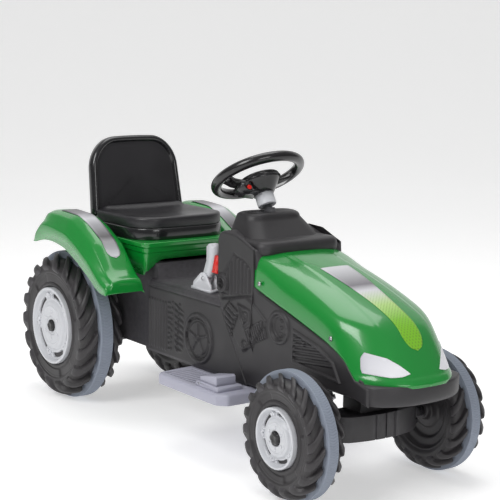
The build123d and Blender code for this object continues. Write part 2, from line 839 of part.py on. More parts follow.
# ---------------------------------------------------------------- steering wheel and column
hub_low, hub_high = 45.0, 14.0  # along the column, below the rim's middle plane
hub_low_radius, hub_high_radius = 22.0, 46.0
spoke_width = 26.0
collar_low = 70.0
collar_radius = 20.0
bolt_radius = 7.0  # the column's upper end inside the hub



def radial(turn):
    """A plane holding the column axis; its X runs out from the axis and its Y up the column."""
    turned = radians(turn)
    reach = (cos(turned), sin(turned) * cos(lean_back), -sin(turned) * sin(lean_back))
    up = Vector(0, sin(lean_back), cos(lean_back))
    return Plane(origin=on_column(0.0), x_dir=reach, z_dir=Vector(*reach).cross(up))


def hub_cone(grow):
    """The cone under the steering wheel, grown by a clearance."""
    with BuildPart() as cone:
        with BuildSketch(across(hub_low)):
            Circle(hub_low_radius + grow)
        with BuildSketch(across(hub_high)):
            Circle(hub_high_radius + grow)
        loft()
    return cone


spoke_deep = 14.0
hub = hub_cone(0)
hub_space = hub_cone(fit_gap)
with BuildPart() as steering_wheel:
    with BuildSketch(radial(0.0)):
        with Locations((rim_radius, 0)):
            Circle(rim_tube)
    revolve(axis=Axis(on_column(0.0), (0, sin(lean_back), cos(lean_back))))
    add(hub.part)
    for turn in (0.0, 90.0, 180.0):
        middle = 0.5 * (hub_high_radius + rim_radius)
        with BuildSketch(radial(turn)):
            with BuildLine():
                Polyline(
                    (hub_high_radius - 12.0, -hub_high - spoke_deep),
                    (middle, -hub_high - spoke_deep + 10.0),
                    (rim_radius - 6.0, -7.0),
                    (rim_radius - 6.0, 4.0),
                    (middle, -hub_high + 5.0),
                    (hub_high_radius, -hub_high - 0.5),
                    (hub_high_radius - 12.0, -hub_high - 0.5),
                    close=True,
                )
            make_face()
        extrude(amount=spoke_width / 2, both=True)
    with BuildSketch(across(0)):
        Circle(bolt_radius + running_gap)
    extrude(amount=80.0, both=True, mode=Mode.SUBTRACT)
save(steering_wheel, "steering_wheel")

with BuildPart() as wheel_cover:
    with BuildSketch(across(hub_high)):
        Circle(hub_high_radius - 2.0)
    extrude(amount=8.0)
    fillet(wheel_cover.edges().filter_by(GeomType.CIRCLE).sort_by(Axis.Z)[-1], 3.0)
save(wheel_cover, "wheel_cover")

pod_in, pod_out = 24.0, 60.0  # from the column, towards the tractor's right
pod_half = 17.0
pod_high, pod_low = 22.0, 46.0
button_radius = 5.0
button_stand = 2.5
button_travel = 1.5
button_along, button_x = 33.0, 44.0


def pod_face(depth):
    """A plane parallel to the pod's front face, this deep inside it; its Z points forward."""
    origin = on_column(button_along, -button_x, pod_half - depth)
    return Plane(origin=origin, x_dir=(1, 0, 0), z_dir=(0, -cos(lean_back), sin(lean_back)))


button_deep = 9.0
with BuildPart() as button_pod:
    with BuildSketch(radial(180.0)):
        with BuildLine():
            Polyline(
                (pod_in - 4.0, -pod_low),
                (pod_out - 12.0, -pod_low + 6.0),
                (pod_out, -pod_high - 8.0),
                (pod_out, -pod_high),
                (hub_high_radius - 12.0, -hub_high - spoke_deep - fit_gap - 0.5),
                (pod_in - 4.0, -hub_high - spoke_deep - fit_gap - 0.5),
                close=True,
            )
        make_face()
    extrude(amount=pod_half, both=True)
    add(hub_space.part, mode=Mode.SUBTRACT)
    with BuildSketch(across(pod_low + 2.0)):
        Circle(collar_radius + 1.0)
    extrude(amount=6.0, mode=Mode.SUBTRACT)
    with BuildSketch(pod_face(button_deep + button_travel + fit_gap)):
        Circle(button_radius + running_gap)
    extrude(amount=30.0, mode=Mode.SUBTRACT)
save(button_pod, "button_pod")

with BuildPart() as red_button:
    with BuildSketch(pod_face(button_deep)):
        Circle(button_radius)
    extrude(amount=button_deep + button_stand)
    fillet(red_button.edges().filter_by(GeomType.CIRCLE).sort_by(Axis.Y)[0], 1.0)
save(red_button, "red_button")

with BuildPart() as column_collar:
    with BuildSketch(across(collar_low)):
        Circle(collar_radius)
        Circle(column_radius + running_gap, mode=Mode.SUBTRACT)
    extrude(amount=collar_low - hub_low)
    fillet(column_collar.faces().sort_by(Axis.Z)[0].edges().sort_by(SortBy.RADIUS)[-1], 2.0)
save(column_collar, "column_collar")

# the column runs down to a crank whose pin drives the tie rod
link_along = (wheel_z - link_z - crank_arm * sin(lean_back)) / cos(lean_back)
fork_y = on_column(link_along, 0, -crank_arm)[1]
crank_along = link_along - 20.0  # lower face of the crank plate
crank_thick = 8.0
link_pin_radius = 4.0
with BuildPart() as steering_column:
    with BuildSketch(across(hub_low)):
        Circle(bolt_radius)
    extrude(amount=hub_low - hub_high)
    with BuildSketch(across(crank_along)):
        Circle(column_radius)
    extrude(amount=crank_along - hub_low)
    with BuildSketch(across(crank_along)):
        Circle(column_radius + 3.0)
        with Locations((0, crank_arm)):
            Circle(link_pin_radius + 4.0)
        with Locations((0, crank_arm / 2)):
            Rectangle(15.0, crank_arm)
    extrude(amount=crank_thick)
    with BuildSketch(across(crank_along - 1.0, -crank_arm)):
        Circle(link_pin_radius)
    extrude(amount=-30.0)
save(steering_column, "steering_column")

# ---------------------------------------------------------------- front axle and steering links
eye_low, eye_high = link_z - 4.0, link_z + 4.0
knuckle_low, knuckle_high = eye_high + fit_gap, 148.0
ear_thick = 8.0
ear_reach = 14.0
beam_half = kingpin_half - 16.0
beam_front, beam_rear = ahead(62.0), ahead(-14.0)
with BuildPart() as front_axle_beam:
    with BuildSketch(Plane.XY.offset(105.0)):
        with BuildLine():
            Line((-beam_half, beam_rear), (beam_half, beam_rear))
            Line((beam_half, beam_rear), (beam_half, beam_front + 30.0))
            Line((beam_half, beam_front + 30.0), (beam_half - 22.0, beam_front + 12.0))
            ThreePointArc(
                (beam_half - 22.0, beam_front + 12.0),
                (0, beam_front),
                (22.0 - beam_half, beam_front + 12.0),
            )
            Line((22.0 - beam_half, beam_front + 12.0), (-beam_half, beam_front + 30.0))
            Line((-beam_half, beam_front + 30.0), (-beam_half, beam_rear))
        make_face()
    extrude(amount=50.0)
    # saddle up to the body
    block((-46.0, 46.0), (ahead(40.0), ahead(-14.0)), (150.0, band_low))
    for side in (-1, 1):
        for low in (knuckle_low - fit_gap - ear_thick, knuckle_high + fit_gap):
            ear_x = (side * (beam_half - 6.0), side * kingpin_half)
            block(ear_x, (front_axle_y - ear_reach, front_axle_y + ear_reach), (low, low + ear_thick))
            z_rod(side * kingpin_half, front_axle_y, low, low + ear_thick, ear_reach)
    # grooves across the curved front face
    for n in range(-3, 4):
        groove_x = (n * 24.0 - 1.5, n * 24.0 + 1.5)
        block(groove_x, (beam_front - 2, beam_front + 3), (100.0, 160.0), Mode.SUBTRACT)
    for side in (-1, 1):
        z_rod(side * kingpin_half, front_axle_y, 90.0, 170.0, kingpin_radius + running_gap, Mode.SUBTRACT)
save(front_axle_beam, "front_axle_beam")

ear_low = knuckle_low - fit_gap - ear_thick
ear_high = knuckle_high + fit_gap + ear_thick
with BuildPart() as kingpins:
    for side in (-1, 1):
        z_rod(side * kingpin_half, front_axle_y, ear_low - 5.0, ear_high + 4.0, kingpin_radius)
        with BuildSketch(Plane.XY.offset(ear_high)):
            with Locations((side * kingpin_half, front_axle_y)):
                RegularPolygon(8.0, 6)
        extrude(amount=5.0)
        with BuildSketch(Plane.XY.offset(ear_low - 6.0)):
            with Locations((side * kingpin_half, front_axle_y)):
                RegularPolygon(8.0, 6)
        extrude(amount=6.0)
save(kingpins, "kingpins")

front_axle_end = axle_end(front_track_half, front_tyre_width)
hub_face = front_track_half - 0.75 * front_tyre_width / 2
eye_y = front_axle_y + knuckle_arm
arm_low, arm_high = knuckle_low, knuckle_low + 8.0
for side, hand in ((-1, "right"), (1, "left")):
    with BuildPart() as knuckle:
        z_rod(side * kingpin_half, front_axle_y, knuckle_low, knuckle_high, kingpin_radius + 6.0)
        x_rod(side * kingpin_half, side * (hub_face - fit_gap), front_axle_y, front_radius, 11.0)
        x_rod(side * kingpin_half, side * front_axle_end, front_axle_y, front_radius, axle_radius)
        arm_x = (side * (kingpin_half - 7.0), side * (kingpin_half + 7.0))
        block(arm_x, (front_axle_y + kingpin_radius, eye_y), (arm_low, arm_high))
        z_rod(side * kingpin_half, eye_y, arm_low, arm_high, 7.0)
        z_rod(side * kingpin_half, eye_y, eye_low - 3.0, arm_low + 1.0, link_pin_radius)
        z_rod(side * kingpin_half, front_axle_y, 90.0, 170.0, kingpin_radius + running_gap, Mode.SUBTRACT)
    save(knuckle, f"knuckle_{hand}")

pin_drift = knuckle_arm * (1 - cos(radians(steer_lock)))
fork_half = link_pin_radius + slot_play
rod_radius = 4.5
rod_leg = 60.0
fork_front, fork_rear = fork_y - 19.0, fork_y + 14.0
with BuildPart() as tie_rod:
    for side in (-1, 1):
        # the rod is bent back in the middle, behind the column, to reach its crank
        x_rod(side * rod_leg, side * (kingpin_half - 9.0), eye_y, link_z, rod_radius)
        x_rod(side * (fork_half + 1.0), side * rod_leg, fork_y, link_z, rod_radius)
        with BuildSketch(Plane.XZ.offset(-fork_y)) as leg:
            with Locations((side * rod_leg, link_z)):
                Circle(rod_radius)
        extrude(leg.sketch, amount=fork_y - eye_y)
        for y in (eye_y, fork_y):
            with Locations((side * rod_leg, y, link_z)):
                Sphere(rod_radius)
        eye_x = (side * (kingpin_half - 12.0), side * (kingpin_half + 12.0))
        block(eye_x, (eye_y - pin_drift - 11.0, eye_y + 10.0), (eye_low, eye_high))
        plate_x = (side * fork_half, side * (fork_half + 5.0))
        block(plate_x, (fork_front, fork_rear), (link_z - 16.0, link_z + 9.0))
    block((-fork_half - 5.0, fork_half + 5.0), (fork_front, fork_rear), (link_z - 16.0, link_z - 11.0))
    for side in (-1, 1):
        slot_x = (side * (kingpin_half - fork_half), side * (kingpin_half + fork_half))
        slot_y = (eye_y - pin_drift - link_pin_radius - 0.6, eye_y + link_pin_radius + 0.6)
        block(slot_x, slot_y, (eye_low - 1, eye_high + 1), Mode.SUBTRACT)
save(tie_rod, "tie_rod")

# ---------------------------------------------------------------- footboard and pedal
board_front, board_rear = ahead(-204.0), ahead(-458.0)
board_low = board_top - board_thick
board_mid = 96.0
board_corner = 12.0
board_edge = 5.0  # rounding along the top edge
tread_deep = 1.2
tread_x = (body_half + 8.0, board_half - 13.0)
tread_y = (ahead(-322.0), ahead(-434.0))


def board_outline(inset):
    """Plan outline of the footboard, shrunk by a wall thickness."""
    half = board_half - inset
    return [
        (-half + 18.0, board_front + inset),
        (-half, board_front + 20.0),
        (-half - 1.0, ahead(-436.0) - inset),
        (-half + 9.0, ahead(-446.0) - inset),
        (-board_mid, board_rear - inset),
        (board_mid, board_rear - inset),
        (half - 9.0, ahead(-446.0) - inset),
        (half + 1.0, ahead(-436.0) - inset),
        (half, board_front + 20.0),
        (half - 18.0, board_front + inset),
    ]


with BuildPart() as footboard:
    plan(board_outline(0), board_low, board_top)
    fillet(footboard.edges().filter_by(Axis.Z), board_corner)
    fillet(footboard.faces().sort_by(Axis.Z)[-1].edges(), board_edge)
    plan(board_outline(panel), board_low - 1.0, board_top - panel, Mode.SUBTRACT)
    for x in (-60.0, 60.0):
        for y in (ahead(-250.0), ahead(-430.0)):
            z_rod(x, y, board_top - panel, floor_z, 14.0)
            z_rod(x, y, board_low, board_top - panel + 1, 9.0)
    # a shallow tray on each side for the foot
    for side in (-1, 1):
        tray_x = (side * tread_x[0], side * tread_x[1])
        block(tray_x, tread_y, (board_top - tread_deep, board_top + 1), Mode.SUBTRACT)
save(footboard, "footboard")

pedal_base_x = (-190.0, -130.0)
pedal_base_y = (ahead(-230.5), ahead(-310.5))
pedal_base_top = board_top + 10.0
pedal_base_wall = 5.8
pedal_side_gap = 1.2
pedal_pin_y, pedal_pin_z = pedal_base_y[1] - 12.0, board_top + 5.0
pedal_pin_radius = 1.8
pedal_front, pedal_rear = pedal_base_y[0] + 14.0, pedal_pin_y + 4.6
pedal_low = board_top + 1.2
pedal_inset = pedal_base_wall + pedal_side_gap
pedal_x = (pedal_base_x[0] + pedal_inset, pedal_base_x[1] - pedal_inset)
with BuildPart() as pedal_base:
    block(pedal_base_x, pedal_base_y, (board_top, pedal_base_top))
    chamfer(pedal_base.faces().sort_by(Axis.Z)[-1].edges(), 2.0)
    # the well that the pedal sinks into
    well_x = (pedal_x[0] - pedal_side_gap, pedal_x[1] + pedal_side_gap)
    well_y = (pedal_front - 2.2, pedal_rear + 1.8)
    block(well_x, well_y, (board_top - 1, pedal_base_top + 1), Mode.SUBTRACT)
    x_rod(-200.0, -100.0, pedal_pin_y, pedal_pin_z, pedal_pin_radius + running_gap, Mode.SUBTRACT)
save(pedal_base, "pedal_base")

with BuildPart() as pedal:
    prism(
        [
            (pedal_rear - 0.4, pedal_low),
            (pedal_rear, pedal_pin_z + 14.0),
            (pedal_front + 5.0, pedal_pin_z + 24.0),
            (pedal_front, pedal_pin_z + 21.0),
            (pedal_front, pedal_pin_z + 3.5),
            (pedal_pin_y - 4.2, pedal_low),
        ],
        *pedal_x,
    )
    fillet(pedal.edges().filter_by(Axis.X).group_by(Axis.Z)[-1], 2.0)
    x_rod(-200.0, -100.0, pedal_pin_y, pedal_pin_z, pedal_pin_radius + running_gap, Mode.SUBTRACT)
save(pedal, "pedal")

with BuildPart() as pedal_pin:
    x_rod(pedal_base_x[0], pedal_base_x[1], pedal_pin_y, pedal_pin_z, pedal_pin_radius)
save(pedal_pin, "pedal_pin")

# ---------------------------------------------------------------- gear lever
lever_x = -80.0
lever_half = 8.0
cheek = 4.0
lever_pivot_y, lever_pivot_z = ahead(-435.0), 347.0
lever_pin_radius = 3.0
with BuildPart() as lever_bracket:
    inner = lever_half + fit_gap
    outer = inner + cheek
    bracket_y = (ahead(-401.0), ahead(-475.0))
    block((lever_x - outer - 3, lever_x + outer + 3), bracket_y, (shelf_z, shelf_z + 6.0))
    for low, high in ((-outer, -inner), (inner, outer)):
        prism(
            [
                (bracket_y[0] + 2, shelf_z + 5.0),
                (bracket_y[0] + 4, shelf_z + 16.0),
                (lever_pivot_y - 12.0, lever_pivot_z + 8.0),
                (lever_pivot_y - 6.0, lever_pivot_z + 12.0),
                (lever_pivot_y + 6.0, lever_pivot_z + 12.0),
                (lever_pivot_y + 12.0, lever_pivot_z + 8.0),
                (bracket_y[1] - 4, shelf_z + 16.0),
                (bracket_y[1] - 2, shelf_z + 5.0),
            ],
            lever_x + low,
            lever_x + high,
        )
    through = (lever_x - 20, lever_x + 20)
    x_rod(*through, lever_pivot_y, lever_pivot_z, lever_pin_radius + running_gap, Mode.SUBTRACT)
save(lever_bracket, "lever_bracket")

lever_lean = -22.0  # offset of the lever's top from its pivot, towards the front
with BuildPart() as gear_lever:
    x_rod(lever_x - lever_half, lever_x + lever_half, lever_pivot_y, lever_pivot_z, 11.0)
    prism(
        [
            (lever_pivot_y + 10.0, lever_pivot_z),
            (lever_pivot_y - 8.0, lever_pivot_z + 40.0),
            (lever_pivot_y + lever_lean + 14.0, lever_pivot_z + 70.0),
            (lever_pivot_y + lever_lean + 4.0, lever_pivot_z + 77.0),
            (lever_pivot_y + lever_lean - 8.0, lever_pivot_z + 77.0),
            (lever_pivot_y + lever_lean - 18.0, lever_pivot_z + 66.0),
            (lever_pivot_y - 26.0, lever_pivot_z + 20.0),
            (lever_pivot_y - 10.0, lever_pivot_z),
        ],
        lever_x - lever_half,
        lever_x + lever_half,
    )
    through = (lever_x - 20, lever_x + 20)
    x_rod(*through, lever_pivot_y, lever_pivot_z, lever_pin_radius + running_gap, Mode.SUBTRACT)
save(gear_lever, "gear_lever")

grip_y = lever_pivot_y + lever_lean - 17.0
with BuildPart() as lever_grip:
    block(
        (lever_x - lever_half + 2, lever_x + lever_half - 2),
        (grip_y - 7.0, grip_y + 14.0),
        (lever_pivot_z + 16.0, lever_pivot_z + 54.0),
    )
    add(gear_lever.part, mode=Mode.SUBTRACT)
save(lever_grip, "lever_grip")

with BuildPart() as lever_pin:
    x_rod(lever_x - outer - 1.5, lever_x + outer + 1.5, lever_pivot_y, lever_pivot_z, lever_pin_radius)
save(lever_pin, "lever_pin")

# ---------------------------------------------------------------- screws
with BuildPart() as body_screws:
    for side in (-1, 1):
        for y, z in screw_spots:
            x_rod(side * (body_half - 8.0), side * (hood_half + 1.5), y, z, screw_shank)
            x_rod(side * hood_half, side * (hood_half + 1.5), y, z, screw_head)
save(body_screws, "body_screws")
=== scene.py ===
import json
from math import cos, pi, radians, sin, tau

import bmesh
import bpy
import numpy as np
from mathutils import Matrix, Vector


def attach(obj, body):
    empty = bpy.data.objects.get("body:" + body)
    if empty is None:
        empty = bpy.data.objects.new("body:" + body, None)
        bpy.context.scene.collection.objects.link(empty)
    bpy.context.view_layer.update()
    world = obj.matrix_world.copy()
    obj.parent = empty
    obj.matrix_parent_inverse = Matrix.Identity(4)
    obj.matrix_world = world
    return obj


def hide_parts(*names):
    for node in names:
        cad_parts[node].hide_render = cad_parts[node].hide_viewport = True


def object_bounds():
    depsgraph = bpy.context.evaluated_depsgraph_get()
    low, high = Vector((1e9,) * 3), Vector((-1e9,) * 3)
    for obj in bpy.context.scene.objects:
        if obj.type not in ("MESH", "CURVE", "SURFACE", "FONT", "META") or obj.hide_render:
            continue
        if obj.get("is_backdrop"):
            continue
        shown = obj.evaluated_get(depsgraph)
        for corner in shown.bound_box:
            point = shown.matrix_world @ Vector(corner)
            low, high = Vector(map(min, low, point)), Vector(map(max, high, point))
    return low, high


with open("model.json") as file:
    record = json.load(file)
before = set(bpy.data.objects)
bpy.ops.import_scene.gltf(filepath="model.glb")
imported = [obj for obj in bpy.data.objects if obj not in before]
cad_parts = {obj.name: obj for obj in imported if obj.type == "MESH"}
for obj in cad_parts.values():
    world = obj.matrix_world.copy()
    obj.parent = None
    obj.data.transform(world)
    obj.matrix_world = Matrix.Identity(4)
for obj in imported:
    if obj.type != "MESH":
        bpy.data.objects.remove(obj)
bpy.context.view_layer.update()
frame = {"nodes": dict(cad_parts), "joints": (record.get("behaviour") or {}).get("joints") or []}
nodes = frame["nodes"]
joints = {joint["name"]: joint for joint in frame["joints"]}
mm = 0.001

scene = bpy.context.scene
print("frame loaded,", len(nodes), "nodes")


# Materials: shared node groups, then one function per finish.
def newGroup(name, inputs, outputs):
    group = bpy.data.node_groups.new(name, "ShaderNodeTree")
    for label, kind, default in inputs:
        socket = group.interface.new_socket(name=label, in_out="INPUT", socket_type=kind)
        if default is not None:
            socket.default_value = default
    for label, kind in outputs:
        group.interface.new_socket(name=label, in_out="OUTPUT", socket_type=kind)
    return group, group.nodes.new("NodeGroupInput"), group.nodes.new("NodeGroupOutput")


def addNode(tree, kind, settings=None, **values):
    node = tree.nodes.new(kind)
    for key, value in (settings or {}).items():
        setattr(node, key, value)
    for key, value in values.items():
        node.inputs[key].default_value = value
    return node


def mathNode(tree, operation, first, second=None, third=None):
    node = tree.nodes.new("ShaderNodeMath")
    node.operation = operation
    for index, value in enumerate((first, second, third)):
        if value is None:
            continue
        if isinstance(value, (int, float)):
            node.inputs[index].default_value = value
        else:
            tree.links.new(value, node.inputs[index])
    return node.outputs[0]


def mixColour(tree, factor, first, second):
    node = tree.nodes.new("ShaderNodeMix")
    node.data_type = "RGBA"
    for socket, value in ((node.inputs[0], factor), (node.inputs[6], first),
            (node.inputs[7], second)):
        if isinstance(value, (int, float, tuple)):
            socket.default_value = value
        else:
            tree.links.new(value, socket)
    return node.outputs[2]


def buildGrainGroup():
    # Moulded grain: fine cells and a slower swell added together, as a height and a cloudy mask.
    group, source, sink = newGroup(
        "mouldedGrain",
        [("Vector", "NodeSocketVector", None), ("Fine", "NodeSocketFloat", 1400.0),
         ("Broad", "NodeSocketFloat", 60.0), ("Swell", "NodeSocketFloat", 0.3)],
        [("Height", "NodeSocketFloat"), ("Mask", "NodeSocketFloat")],
    )
    cells = addNode(group, "ShaderNodeTexVoronoi", {"feature": "SMOOTH_F1"})
    swell = addNode(group, "ShaderNodeTexNoise", Detail=4.0, Roughness=0.55)
    cloud = addNode(group, "ShaderNodeTexNoise", Detail=2.0, Scale=14.0)
    for node, scale in ((cells, "Fine"), (swell, "Broad")):
        group.links.new(source.outputs["Vector"], node.inputs["Vector"])
        group.links.new(source.outputs[scale], node.inputs["Scale"])
    group.links.new(source.outputs["Vector"], cloud.inputs["Vector"])
    slow = mathNode(group, "MULTIPLY", swell.outputs[0], source.outputs["Swell"])
    height = mathNode(group, "ADD", cells.outputs["Distance"], slow)
    group.links.new(height, sink.inputs["Height"])
    group.links.new(cloud.outputs[0], sink.inputs["Mask"])
    return group


def buildPaintedLightGroup():
    # Painted light: the sharp outer edges, broken up by noise, as a mask for a painted highlight; hollows
    # as a second mask for painted shade.
    group, source, sink = newGroup(
        "paintedHighlightAndShade",
        [("Vector", "NodeSocketVector", None), ("Scale", "NodeSocketFloat", 90.0)],
        [("PaintedHighlight", "NodeSocketFloat"), ("PaintedShade", "NodeSocketFloat")],
    )
    geometry = addNode(group, "ShaderNodeNewGeometry")
    # the sharp edges, found by pointiness, are where the painted highlight goes
    edge = addNode(group, "ShaderNodeMapRange", **{"From Min": 0.52, "From Max": 0.60})
    # the hollows, found by pointiness, are where the painted shade goes
    hollow = addNode(group, "ShaderNodeMapRange", **{"From Min": 0.49, "From Max": 0.42})
    group.links.new(geometry.outputs["Pointiness"], edge.inputs["Value"])
    group.links.new(geometry.outputs["Pointiness"], hollow.inputs["Value"])
    noise = addNode(group, "ShaderNodeTexNoise", Detail=3.0)
    group.links.new(source.outputs["Vector"], noise.inputs["Vector"])
    group.links.new(source.outputs["Scale"], noise.inputs["Scale"])
    broken = mathNode(group, "MULTIPLY", edge.outputs[0], noise.outputs[0])
    group.links.new(broken, sink.inputs["PaintedHighlight"])
    group.links.new(hollow.outputs[0], sink.inputs["PaintedShade"])
    return group


grainGroup = buildGrainGroup()
paintedLightGroup = buildPaintedLightGroup()


def plastic(name, look):
    # A moulded plastic: base colour with a cloudy drift, a painted highlight on the sharp edges, painted
    # shade darkening the hollows and a grain bump.
    material = bpy.data.materials.new(name)
    material.use_nodes = True
    tree = material.node_tree
    shader = tree.nodes["Principled BSDF"]
    where = tree.nodes.new("ShaderNodeTexCoord").outputs["Object"]
    grain = tree.nodes.new("ShaderNodeGroup")
    grain.node_tree = grainGroup
    grain.inputs["Fine"].default_value = look.get("fine", 1400.0)
    grain.inputs["Broad"].default_value = look.get("broad", 60.0)
    grain.inputs["Swell"].default_value = look.get("swell", 0.3)
    tree.links.new(where, grain.inputs["Vector"])
    paintedLight = tree.nodes.new("ShaderNodeGroup")
    paintedLight.node_tree = paintedLightGroup
    tree.links.new(where, paintedLight.inputs["Vector"])
    colour = look["colour"]
    drift = look.get("drift", 0.12)
    darker = tuple(c * (1 - drift) for c in colour[:3]) + (1,)
    lighter = tuple(min(1, c * (1 + drift)) for c in colour[:3]) + (1,)
    body = mixColour(tree, grain.outputs["Mask"], darker, lighter)
    # painted highlight: the sharp edges mixed towards a lighter colour
    highlightShare = mathNode(tree, "MULTIPLY", paintedLight.outputs["PaintedHighlight"], look.get("edge", 0.35))
    body = mixColour(tree, highlightShare, body, look.get("highlightColour", lighter))
    # painted shade: the hollows mixed towards a darker copy of the colour
    hollowShare = mathNode(tree, "MULTIPLY", paintedLight.outputs["PaintedShade"], look.get("hollow", 0.35))
    body = mixColour(tree, hollowShare, body, tuple(c * 0.35 for c in colour[:3]) + (1,))
    tree.links.new(body, shader.inputs["Base Color"])
    low, high = look["rough"]
    rough = addNode(tree, "ShaderNodeMapRange",
        **{"From Min": 0.3, "From Max": 0.7, "To Min": low, "To Max": high})
    tree.links.new(grain.outputs["Mask"], rough.inputs["Value"])
    tree.links.new(rough.outputs[0], shader.inputs["Roughness"])
    bump = addNode(tree, "ShaderNodeBump", Strength=look.get("bump", 0.2),
        Distance=look.get("deep", 0.0002))
    tree.links.new(grain.outputs["Height"], bump.inputs["Height"])
    tree.links.new(bump.outputs[0], shader.inputs["Normal"])
    shader.inputs["Metallic"].default_value = look.get("metal", 0.0)
    shader.inputs["IOR"].default_value = look.get("ior", 1.5)
    if "coat" in look:
        shader.inputs["Coat Weight"].default_value = look["coat"]
        shader.inputs["Coat Roughness"].default_value = look.get("coatRough", 0.04)
    return material


# In each finish, the edge share and its colour set the painted highlight on sharp edges, and the hollow
# share sets the painted shade in hollows.
finishes = {
    "greenGloss": {"colour": (0.003, 0.225, 0.028, 1), "rough": (0.20, 0.27), "drift": 0.04,
    "broad": 30.0, "bump": 0.05, "edge": 0.5, "highlightColour": (0.05, 0.50, 0.10, 1), "hollow": 0.5,
    "coat": 0.5}, "bodyCharcoal": {"colour": (0.022, 0.0205, 0.0225, 1), "rough": (0.42, 0.54),
    "bump": 0.35, "edge": 0.8, "highlightColour": (0.085, 0.08, 0.09, 1), "hollow": 0.7},
    "tyreCharcoal": {"colour": (0.027, 0.0245, 0.0265, 1), "rough": (0.40, 0.56), "bump": 0.4,
    "fine": 1100.0, "edge": 0.8, "highlightColour": (0.075, 0.07, 0.08, 1), "hollow": 0.7},
    "bandGrey": {"colour": (0.235, 0.265, 0.325, 1), "rough": (0.55, 0.70), "bump": 0.5,
    "fine": 1600.0, "edge": 0.4, "hollow": 0.6},
    "rimSilver": {"colour": (0.60, 0.61, 0.64, 1), "rough": (0.28, 0.40), "drift": 0.05,
    "bump": 0.15, "edge": 0.4, "highlightColour": (0.85, 0.85, 0.88, 1), "hollow": 0.75},
    "capBlack": {"colour": (0.016, 0.016, 0.017, 1), "rough": (0.30, 0.42), "edge": 0.4},
    "seatBlack": {"colour": (0.008, 0.0078, 0.009, 1), "rough": (0.16, 0.24), "drift": 0.1,
    "bump": 0.08, "edge": 0.5, "highlightColour": (0.06, 0.06, 0.065, 1), "coat": 0.3},
    "seatGrained": {"colour": (0.015, 0.014, 0.0165, 1), "rough": (0.34, 0.46), "bump": 0.45,
    "fine": 900.0, "edge": 0.5, "highlightColour": (0.09, 0.09, 0.1, 1)},
    "wheelBlack": {"colour": (0.008, 0.0075, 0.0085, 1), "rough": (0.18, 0.28), "bump": 0.12,
    "edge": 0.5, "highlightColour": (0.06, 0.06, 0.065, 1), "coat": 0.2},
    "boardGrey": {"colour": (0.38, 0.38, 0.46, 1), "rough": (0.36, 0.48), "drift": 0.05,
    "bump": 0.25, "edge": 0.5, "highlightColour": (0.60, 0.60, 0.68, 1), "hollow": 0.6},
    "leverGrey": {"colour": (0.60, 0.61, 0.64, 1), "rough": (0.30, 0.40), "drift": 0.04,
    "bump": 0.2, "edge": 0.3}, "signalRed": {"colour": (0.72, 0.020, 0.012, 1), "rough": (0.22,
    0.32), "drift": 0.05, "bump": 0.1}, "zincSteel": {"colour": (0.50, 0.50, 0.52, 1),
    "rough": (0.24, 0.40), "metal": 1.0, "bump": 0.2, "hollow": 0.6},
    "innerBlack": {"colour": (0.050, 0.050, 0.055, 1), "rough": (0.45, 0.60), "bump": 0.3},
    "batteryGrey": {"colour": (0.10, 0.10, 0.11, 1), "rough": (0.45, 0.55), "bump": 0.3},
}
looks = {name: plastic(name, look) for name, look in finishes.items()}


def filmLook(name, low, high, stops, dots=None):
    # A printed film: a colour ramp along the tractor, and a grid of small dots over part of it.
    material = bpy.data.materials.new(name)
    material.use_nodes = True
    tree = material.node_tree
    shader = tree.nodes["Principled BSDF"]
    place = tree.nodes.new("ShaderNodeSeparateXYZ")
    tree.links.new(tree.nodes.new("ShaderNodeTexCoord").outputs["Object"], place.inputs[0])
    span = addNode(tree, "ShaderNodeMapRange", **{"From Min": low, "From Max": high})
    tree.links.new(place.outputs[1], span.inputs["Value"])
    ramp = tree.nodes.new("ShaderNodeValToRGB")
    for at, colour in stops[1:-1]:
        ramp.color_ramp.elements.new(at)
    for element, (at, colour) in zip(ramp.color_ramp.elements, stops):
        element.position = at
        element.color = (*colour, 1)
    tree.links.new(span.outputs[0], ramp.inputs[0])
    colour = ramp.outputs[0]
    if dots:
        waves = []
        for axis in (0, 1):
            turn = mathNode(tree, "MULTIPLY", place.outputs[axis], tau / dots["pitch"])
            waves.append(mathNode(tree, "SINE", turn))
        both = mathNode(tree, "MULTIPLY", waves[0], waves[1])
        near = addNode(tree, "ShaderNodeMapRange",
            **{"From Min": dots["level"] - 0.1, "From Max": dots["level"] + 0.1})
        tree.links.new(both, near.inputs["Value"])
        fade = addNode(tree, "ShaderNodeMapRange",
            **{"From Min": dots["from"], "From Max": dots["to"]})
        tree.links.new(place.outputs[1], fade.inputs["Value"])
        amount = mathNode(tree, "MULTIPLY", near.outputs[0], fade.outputs[0])
        colour = mixColour(tree, amount, colour, dots["colour"])
    tree.links.new(colour, shader.inputs["Base Color"])
    shader.inputs["Roughness"].default_value = 0.3
    return material


silver, grey, dark, lime = (0.62, 0.62, 0.65), (0.16, 0.15, 0.17), (0.045, 0.04, 0.045), (0.19,
    0.48, 0.02)
looks["hoodFilm"] = filmLook("hoodFilm", -0.343, -0.592,
                             [(0, silver), (0.16, (0.40, 0.40, 0.42)), (0.33, grey), (0.42, silver),
                             (0.62, (0.42, 0.62, 0.20)), (0.8, lime), (1, lime)],
                             {"pitch": 0.0075, "level": 0.5, "from": -0.44, "to": -0.52,
                             "colour": (0.14, 0.30, 0.03, 1)})
looks["fenderFilm"] = filmLook("fenderFilm", 0.424, 0.207,
                               [(0, dark), (0.28, grey), (0.46, silver), (0.60, (0.30, 0.30, 0.32)),
                               (0.78, (0.07, 0.065, 0.07)), (0.92, (0.36, 0.36, 0.38)),
                               (1, silver)])
looks["lampFilm"] = filmLook("lampFilm", -0.60, -0.53,
    [(0, (0.78, 0.78, 0.82)), (0.5, (0.62, 0.62, 0.66)), (1, (0.40, 0.40, 0.44))])
print("materials", len(looks))


